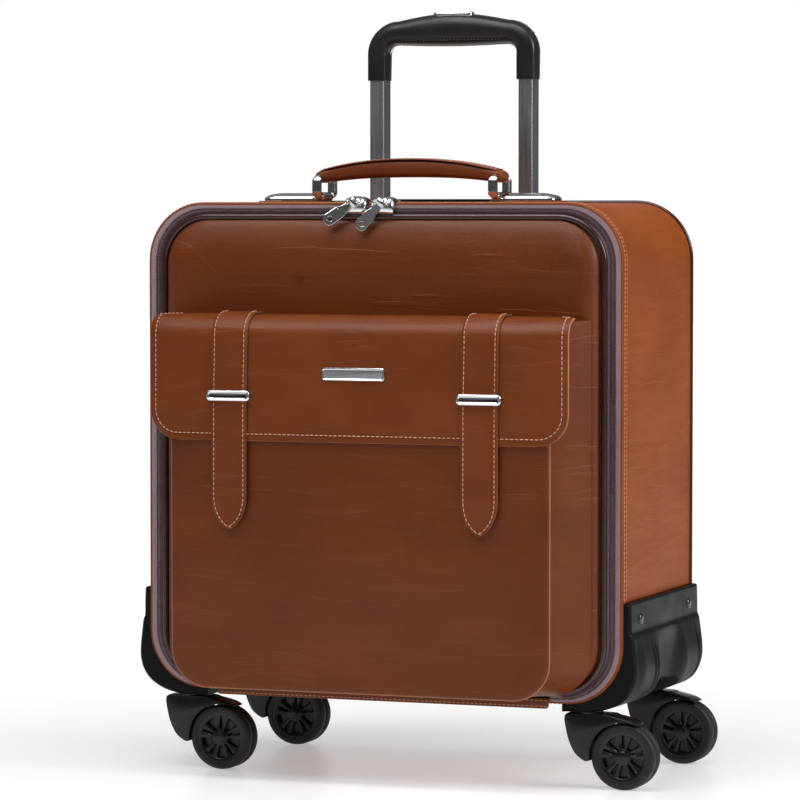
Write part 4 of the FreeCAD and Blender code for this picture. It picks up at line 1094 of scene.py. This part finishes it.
def grip_lines():
    """Matching points along the grip's outer and inner lines, foot to foot."""
    outer_turn, inner_turn, crown = 25, 9, 6.0
    shoulder = GRIP.high + 3.4 - crown
    outer_reach, inner_reach = -GRIP.half + outer_turn, -GRIP.half + LEG + inner_turn
    outer, inner = [], []
    for step in range(8):
        share = step / 8
        outer.append((-GRIP.half, GRIP.low + (shoulder - outer_turn - GRIP.low) * share))
        inner.append((-GRIP.half + LEG, GRIP.low + (BAR_UNDER - inner_turn - GRIP.low) * share))
    for step in range(12):
        turn = math.radians(180 - 90 * step / 12)
        for line, reach, up, size in (
            (outer, outer_reach, shoulder, outer_turn), (inner, inner_reach, BAR_UNDER, inner_turn)
        ):
            line.append((reach + size * math.cos(turn), up - size + size * math.sin(turn)))
    for step in range(17):
        share = step / 16
        arch = math.sin(math.pi / 2 * share)
        outer.append((outer_reach * (1 - share), shoulder + crown * arch))
        inner.append((inner_reach * (1 - share), BAR_UNDER - 1.2 * arch))
    outer += [(-across, up) for across, up in outer[-2::-1]]
    inner += [(-across, up) for across, up in inner[-2::-1]]
    return outer, inner


def grip_shell(name, look, node):
    """Half of the grip, from the seam forwards or back: boxy legs and a fuller bar."""
    span = Span(node)
    fore = span.front > GRIP_REAR.front
    seam, reach = (span.back, span.front - span.back) if fore else (span.front, span.back - span.front)
    loops = []
    for outer, inner in zip(*grip_lines()):
        outer, inner = Vector(outer), Vector(inner)
        middle, half = (outer + inner) / 2, (outer - inner) / 2
        bar = min(1.0, max(0.0, (outer.y - 580) / 20))
        power = 0.42 + 0.38 * bar
        taper = 1.0 if fore else 1.0 - 0.16 * (1 - bar) * max(0.0, (580 - outer.y) / 23)
        loop = []
        for step in range(19):
            turn = math.radians(-90 + 180 * step / 18)
            deep = abs(math.cos(turn)) ** power
            spot = middle + half * boxy(math.sin(turn), power) * (1 if fore else 1 - 0.1 * deep * (1 - bar))
            loop.append((spot.x, seam + reach * deep * taper, spot.y))
        loops.append(loop)
    shape = solid(loops)
    shape.make(name, look, "trolley_handle", "black_plastic", [node])


def grip_seam():
    """The bright line between the grip's two shells."""
    seam = (GRIP.back + GRIP_REAR.front) / 2
    proud, half = 0.5, 1.1
    loops = []
    for outer, inner in zip(*grip_lines()):
        outer, inner = Vector(outer), Vector(inner)
        way = (outer - inner).normalized() * proud
        corners = ((outer + way, half), (outer + way, -half), (inner - way, -half), (inner - way, half))
        loops.append([(spot.x, seam + front, spot.y) for spot, front in corners])
    shape = solid(loops)
    shape.make("grip_seam", CHROME, "trolley_handle", "chrome")


def grip_stitches():
    """Pale stitches along the front of the bar."""
    shape = Shape()
    reach = GRIP.half - LEG - 14
    path = [(-reach + 2 * reach * step / 20, GRIP.front - 1.9, BAR_UNDER + 3.4) for step in range(21)]
    add_stitches(shape, path, (0, 0.9, -0.4), pitch=3.0, stitch=1.3, thread=0.32)
    shape.make("grip_stitches", GRIP_THREAD, "trolley_handle", "black_plastic")


def grip_button():
    span = Span("release_button")
    loops = []
    high = span.high
    rows = [(0.0, span.low), (0.0, high - 1.4), (0.25, high - 0.6), (0.8, high - 0.1), (1.6, high)]
    for gap, up in rows:
        radius = max(0.4, 3.5 - gap)
        loop = rounded(span.left + gap, span.right - gap, span.back + gap, span.front - gap, radius, 6, 8)
        loops.append(at_level(loop, up))
    shape = solid(loops)
    shape.make("grip_button", CHROME, "button", "chrome", ["release_button"])


# Guards and casters ----------------------------------------------------------------------------------


def guard_line(span, outside, inside):
    """The guard's section through one foot, from its top edge down and in under the case."""
    wall, high = CASE.half, span.high
    plate = [(wall + 0.3, high), (wall + 3.2, high + 0.25), (wall + 5.2, high - 0.8), (wall + 5.6, high - 4)]
    ledge = [(wall + 5.9, high - 14), (wall + 6.0, high - 23), (wall + 7.3, high - 26.5)]
    foot = [(outside - 1.2, high - 34), (outside - 0.4, 98), (outside - 0.8, 88), (outside - 3.6, 79)]
    under = [(outside - 10.5, 70), (outside - 21, 63.6), (outside - 34, span.low + 0.5)]
    under += [(inside + 9, span.low), (inside, span.low)]
    return through(plate + ledge + foot + under, 4)


def against_case(spot):
    """Where the guard's inner face lies on the case, for a point of its outer face."""
    reach = CORNER + 0.15
    across, up = CASE.half - CORNER, CASE.low + CORNER
    if spot.y > up:
        return across + reach, spot.y
    if spot.x < across:
        return spot.x, CASE.low - 0.1
    turn = math.atan2(spot.y - up, spot.x - across)
    return across + reach * math.cos(turn), up + reach * math.sin(turn)


def corner_guard(side, name):
    """The moulded guard: a plate with a ledge under the rivets, and two bulging fluted feet."""
    span = Span("corner_guard_" + name)
    outside, inside = max(abs(span.left), abs(span.right)), min(abs(span.left), abs(span.right))
    line = guard_line(span, outside, inside)
    deep = span.front
    count = 120
    fronts = [-deep, -deep + 0.25, -deep + 0.9, -deep + 2]
    fronts += [-deep + 3.2 + (2 * deep - 6.4) * step / count for step in range(count + 1)]
    fronts += [deep - 2, deep - 0.9, deep - 0.25, deep]
    loops = []
    for front in fronts:
        away = abs(front)
        pull = 1.5 * (1 - smooth(deep - away, 0, 2.2))
        lobe = smooth(away, 14, 40) * (1 - 0.75 * smooth(away, 72, 93))
        fluted = smooth(front, 22, 30) * (1 - smooth(front, 46, 54))
        fluted += smooth(-front, 66, 72) * (1 - smooth(-front, 88, 92))
        outer, inner = [], []
        for index, point in enumerate(line):
            before, after = neighbours(line, index)
            way = (after - before).normalized()
            belly = smooth(point.y, 60, 78) * (1 - smooth(point.y, 88, 124))
            grow = 4.2 * lobe * belly - 3.6 * (1 - smooth(away, 4, 42)) * belly
            grow += 0.8 * fluted * belly * math.cos(2 * math.pi * front / 7.5)
            spot = point.copy()
            if 1 < index < len(line) - 2:
                spot += Vector((-way.y, way.x)) * (grow - pull)
            outer.append((side * spot.x, front, spot.y))
            rest = against_case(spot)
            inner.append((side * rest[0], front, rest[1]))
        loops.append(outer + inner[::-1])
    shape = solid(loops)
    nodes = ["corner_guard_" + name]
    made = shape.make("guard_cover_" + name, GUARD_PLASTIC, "root", "black_plastic", nodes, smooth_angle=42)
    cut(made, guard_arch(side, outside))


def rivets():
    """Low domed heads that sit in the guards' faces."""
    span = Span("guard_rivets")
    shape = Shape()
    profile = [(4.6, -0.6), (4.5, 0.15), (4.0, 0.75), (2.9, 1.15), (1.5, 1.35), (0.2, 1.4)]
    for side in (-1, 1):
        for front in (span.front - 4, span.back + 4):
            centre = (side * (CASE.half + 6.0), front, span.level)
            revolve(shape, centre, [(size, side * out) for size, out in profile], steps=28, axis="across")
    shape.make("rivet_heads", RIVET, "root", "chrome", ["guard_rivets"])


def guard_arch(side, outside):
    """The opening between the guard's two feet."""
    shape = Shape()
    arch = rounded(-40, 40, 20, 77, (2, 16), 10, 6)
    ends = (side * (CASE.half - CORNER - 12), side * (outside + 12))
    shape.loft([[(across, front, up) for front, up, *_ in arch] for across in ends], caps=(True, True))
    return shape


def cut(made, shape):
    """Take a shape away from a finished piece."""
    cutter = shape.make("cutter", GUARD_PLASTIC, "root", "black_plastic")
    boolean = made.modifiers.new("cut", "BOOLEAN")
    boolean.object = cutter
    boolean.solver = "EXACT"
    graph = bpy.context.evaluated_depsgraph_get()
    mesh = bpy.data.meshes.new_from_object(made.evaluated_get(graph))
    made.modifiers.clear()
    made.data = mesh
    bpy.data.objects.remove(cutter)


def caster_parts(name):
    """A caster's fork, its outer and inner wheels, and the middle of its axle."""
    fork = Span("fork_" + name)
    wheels = [Span(f"wheel_{name}_{pair}") for pair in ("outer", "inner")]
    return fork, wheels, (wheels[0].across, fork.deep, wheels[0].level)


HOOD_TOP = 59.3
SWIVEL_IN = 19.5  # from the hood's free edge in to the swivel's axis


def hood_outline(fork, centre, radius):
    """The hood's side: the wheel's arc, and the line over it, down past the swivel and back."""
    low, top, left = fork.low, HOOD_TOP, fork.left

    def around_wheel(degrees, reach):
        turn = math.radians(degrees)
        return centre[0] + reach * math.cos(turn), centre[2] + reach * math.sin(turn)

    arc = [around_wheel(188 - 122 * step / 34, radius) for step in range(35)]
    nose = [around_wheel(65, radius + 0.6), around_wheel(66.5, radius + 1.3), around_wheel(76, radius + 2.1)]
    crown = [around_wheel(90, radius + 3.1), around_wheel(102, radius + 5.2), (centre[0] - 13, top - 0.4)]
    shoulder = [(left + 9, top), (left + 3.2, top - 0.6), (left + 1.0, top - 3.5), (left + 1.6, top - 10)]
    skirt = [(left + 4.2, top - 21), (left + 9, top - 31), (left + 14.5, low + 2.4), (left + 18.5, low + 0.4)]
    rim = through([arc[-1]] + nose + crown + shoulder + skirt + [arc[0]], 4)
    return [(point[0], point[1]) for point in rim[:-1]] + arc[:-1], len(arc) - 1


def caster_hood(name):
    """A hood that runs from the swivel over the wheels, with a web down to the axle."""
    fork, wheels, centre = caster_parts(name)
    radius = wheels[0].level
    outline, arc_points = hood_outline(fork, centre, radius + 0.9)
    size = len(outline)
    half = 10.4
    sides = [(1.3, -half), (0.6, -half + 0.3), (0.2, -half + 0.9), (0, -half + 2.0)]
    loops = []
    for trim, front in sides + [(trim, -front) for trim, front in sides[::-1]]:
        loop = []
        for index, point in enumerate(outline):
            before, after = Vector(outline[index - 1]), Vector(outline[(index + 1) % size])
            way = (after - before).normalized()
            inward = Vector((-way.y, way.x)) * trim * (0.0 if index >= size - arc_points else 0.8)
            loop.append((point[0] + inward.x, centre[1] + front, point[1] + inward.y))
        loops.append(loop)
    shape = solid(loops)
    stem = [(9.6, HOOD_TOP - 4), (10.2, HOOD_TOP - 1.0), (10.2, HOOD_TOP + 0.6), (9.2, HOOD_TOP + 0.9)]
    stem += [(5, HOOD_TOP + 0.9), (5, fork.high)]
    revolve(shape, (fork.left + SWIVEL_IN, centre[1], 0), stem, steps=32, axis="up")
    web = [(-5, -3), (1, -5.6), (5.4, -1), (4, 5), (-12, radius + 3), (-radius - 3, 12)]
    shape.loft([[(centre[0] + across, centre[1] + front, centre[2] + up) for across, up in web]
                for front in (-1.2, 1.2)], caps=(True, True))
    nodes = ["fork_" + name]
    shape.make("caster_hood_" + name, BLACK_PLASTIC, "caster_" + name, "black_plastic", nodes, smooth_angle=50)


def caster_wheels(name):
    """Each wheel: a rubber tyre, and a hub with five pairs of spokes and a domed cap."""
    _, wheels, centre = caster_parts(name)
    for pair, span in zip(("outer", "inner"), wheels):
        away = 1 if span.deep > centre[1] else -1
        middle = (centre[0], span.deep, centre[2])
        radius, half = span.level, (span.front - span.back) / 2
        tyre = [(radius - 5.6, -half + 0.9), (radius - 5.3, -half + 0.15), (radius - 4.6, -half)]
        tyre += [(radius - 2.1, -half + 0.05), (radius - 1.5, -half + 0.35), (radius - 0.6, -half + 1.1)]
        tyre += [(radius - 0.12, -half + 2.3), (radius, -half + 3.3)]
        rim = [(radius - 9.6, -half + 1.9), (radius - 9.2, -half + 1.2), (radius - 8.0, -half + 0.55)]
        rim += [(radius - 5.5, -half + 0.6)]
        hub = [(3.0, -half), (5.6, -half), (6.4, -half + 0.5), (6.6, -half + 1.2)]
        cap = [(5.0, half - 0.2), (4.9, half + 0.7), (4.3, half + 1.25), (3.0, half + 1.6)]
        cap += [(1.4, half + 1.75), (0.3, half + 1.8)]
        # A dark disc behind the spokes, so the openings between them show dark: a dark sheet standing in for
        # the shade inside the wheel.
        shade_backing = [(5.5, half - 2.2), (5.5, half - 1.5), (radius - 9, half - 1.5), (radius - 9, half - 2.2)]
        shape = Shape()
        for mark, profile in ((0, mirrored(tyre)), (1, mirrored(rim))):
            revolve(shape, middle, profile + profile[:1], steps=72, mark=mark)
        revolve(shape, middle, mirrored(hub), steps=36, mark=1)
        revolve(shape, middle, [(size, along * away) for size, along in cap], steps=36, mark=1)
        revolve(shape, middle, [(size, -along * away) for size, along in shade_backing + shade_backing[:1]], mark=1)
        start = 126 if pair == "inner" else 90
        for index in range(5):
            for lean in (-1, 1):
                spoke(shape, middle, math.radians(start + 72 * index + 11.5 * lean), lean, radius, half)
        shape.make(f"{name}_{pair}_wheel", [RUBBER, HUB_PLASTIC], f"wheel_{name}_{pair}_body", "wheel_rubber",
                   [f"wheel_{name}_{pair}"], smooth_angle=40)


def spoke(shape, middle, turn, lean, radius, half):
    """One spoke, narrow at the hub and spread where it meets the rim, with a ridged face."""
    along = Vector((math.cos(turn), math.sin(turn)))
    across = Vector((-along.y, along.x))
    loops = []
    for reach, wide, deep in ((5.2, 1.3, half - 0.7), (8, 1.2, half - 1.3), (11.5, 1.55, half - 1.5),
                              (14.5, 2.2, half - 1.3), (radius - 8.2, 3.5, half - 1.1)):
        spot = along * reach + across * (lean * 0.35 * math.sin(math.pi * reach / radius))
        section = [(-wide, -deep + 0.7), (-wide * 0.4, -deep), (wide * 0.4, -deep), (wide, -deep + 0.7)]
        section += [(-side, -front) for side, front in section]
        spot_x, spot_z = middle[0] + spot.x, middle[2] + spot.y
        loops.append([(spot_x + across.x * side, middle[1] + front, spot_z + across.y * side)
                      for side, front in section])
    shape.loft(loops, caps=(True, True), mark=1)


def round_metal_edges():
    """Break the sharp edges of the small cast metal parts that keep their own shape."""
    for name in ("zip_pull_left", "zip_pull_right"):
        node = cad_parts[name]
        weld = node.modifiers.new("weld", "WELD")
        weld.merge_threshold = 1e-6
        bevel = node.modifiers.new("edges", "BEVEL")
        bevel.width = 0.00035
        bevel.segments = 2
        bevel.limit_method = "ANGLE"
        bevel.angle_limit = math.radians(40)


# Camera, light and floor ----------------------------------------------------------------------------


VIEW_TURN, VIEW_TILT = 20.62, -2.75
# Level directions: away from the camera, and across its view.
AWAY, SIDEWAYS = (-0.352, 0.936, 0), (0.936, 0.352, 0)


def product(tree, *values):
    return math_node(tree, "MULTIPLY", *values)


def stage_floor():
    """A pale floor that fades to the studio's white in the aisle behind the case."""
    mesh = bpy.data.meshes.new("floor")
    reach = 12.0
    corners = [(-reach, -reach, 0), (reach, -reach, 0), (reach, reach, 0), (-reach, reach, 0)]
    mesh.from_pydata(corners, [], [(0, 1, 2, 3)])
    floor = bpy.data.objects.new("floor", mesh)
    bpy.context.scene.collection.objects.link(floor)
    pale, tree, shader = new_material("floor_look", (0.80, 0.80, 0.80), 0.35)
    coords = tree.nodes.new("ShaderNodeTexCoord").outputs["Object"]
    distance = tree.nodes.new("ShaderNodeVectorMath")
    distance.operation = "LENGTH"
    tree.links.new(coords, distance.inputs[0])
    behind = ramp(tree, toward(tree, coords, AWAY), -1.0, -0.35, 0.05, 1.0)
    spread = ramp(tree, distance.outputs["Value"], 0.25, 1.2, 0.38, 1.0)
    aisle = ramp(tree, math_node(tree, "ABSOLUTE", toward(tree, coords, SIDEWAYS)), 1.5, 2.4, 1.0, 0.1)
    glow = product(tree, product(tree, behind, spread), aisle)
    dull = ramp(tree, glow, 0.22, 1.0, 0.84, 0.0)
    tree.links.new(glow, shader.inputs["Emission Strength"])
    shader.inputs["Emission Color"].default_value = (1, 1, 1, 1)
    tree.links.new(mixed(tree, dull, (0.0, 0.0, 0.0), (1.0, 1.0, 1.0)), shader.inputs["Base Color"])
    mesh.materials.append(pale)


def add_light(name, spot, target, size, power):
    data = bpy.data.lights.new(name, "AREA")
    data.shape = "RECTANGLE"
    data.size, data.size_y = size
    data.energy = power
    light = bpy.data.objects.new(name, data)
    light.location = spot
    light.rotation_euler = (Vector(target) - Vector(spot)).to_track_quat("-Z", "Y").to_euler()
    bpy.context.scene.collection.objects.link(light)


def studio():
    """A dim dome, a bright band low behind the case, and four soft lights."""
    scene = bpy.context.scene
    scene.view_settings.view_transform = "Standard"
    world = bpy.data.worlds.new("studio")
    world.use_nodes = True
    scene.world = world
    tree = world.node_tree
    sky = tree.nodes["Background"]
    coords = tree.nodes.new("ShaderNodeTexCoord").outputs["Generated"]
    split = tree.nodes.new("ShaderNodeSeparateXYZ")
    tree.links.new(coords, split.inputs["Vector"])
    dome = ramp(tree, split.outputs["Z"], 0.15, 0.75, 0.05, 0.24)
    low = ramp(tree, math_node(tree, "ABSOLUTE", split.outputs["Z"]), 0.10, 0.30, 1.0, 0.0)
    band = product(tree, low, ramp(tree, toward(tree, coords, AWAY), 0.86, 0.97, 0.06, 1.0))
    tree.links.new(math_node(tree, "MAXIMUM", dome, band), sky.inputs["Strength"])
    sky.inputs["Color"].default_value = (1, 1, 1, 1)
    middle = (0, 0, 0.3)
    for name, spot, target, size, power in (
        ("key_right", (2.4, -0.1, 1.5), middle, (1.4, 1.2), 44),
        ("top_soft", (0.0, -0.55, 2.2), middle, (1.8, 0.6), 24),
        ("sheen", (-0.42, -1.25, 1.9), (0, -0.1, 0.45), (1.5, 0.3), 13),
        ("front_high", (-0.9, -2.5, 1.95), (0, 0, 0.4), (1.6, 0.4), 3),
    ):
        add_light(name, spot, target, size, power)


def camera():
    data = bpy.data.cameras.new("camera")
    data.lens = 182.3
    data.sensor_width = 36
    made = bpy.data.objects.new("camera", data)
    made.location = (1.1306, -3.0446, 0.4538)
    made.rotation_euler = (math.radians(90 + VIEW_TILT), 0, math.radians(VIEW_TURN))
    bpy.context.scene.collection.objects.link(made)
    bpy.context.scene.camera = made


dress_cad_nodes()
camera()
studio()
stage_floor()
case_wall()
border_stitches()
back_cover()
back_piping()
zip_teeth("case_zip_teeth", 1, "root")
zip_teeth("lid_zip_teeth", -1, "lid")
hinge_cover()
lid_pad()
pocket_bellows()
pocket_face()
pocket_welt()
pocket_flap()
straps()
keepers()
plaque()
carry_handle()
anchors()
rings()
zip_sliders()
rivets()
grip_shell("grip_front_cover", GRIP_PLASTIC, "grip_front_shell")
grip_shell("grip_rear_cover", BLACK_PLASTIC, "grip_rear_shell")
grip_seam()
grip_stitches()
grip_button()
for side, name in ((-1, "left"), (1, "right")):
    corner_guard(side, name)
for name in ("front_left", "front_right", "rear_left", "rear_right"):
    caster_hood(name)
    caster_wheels(name)
round_metal_edges()
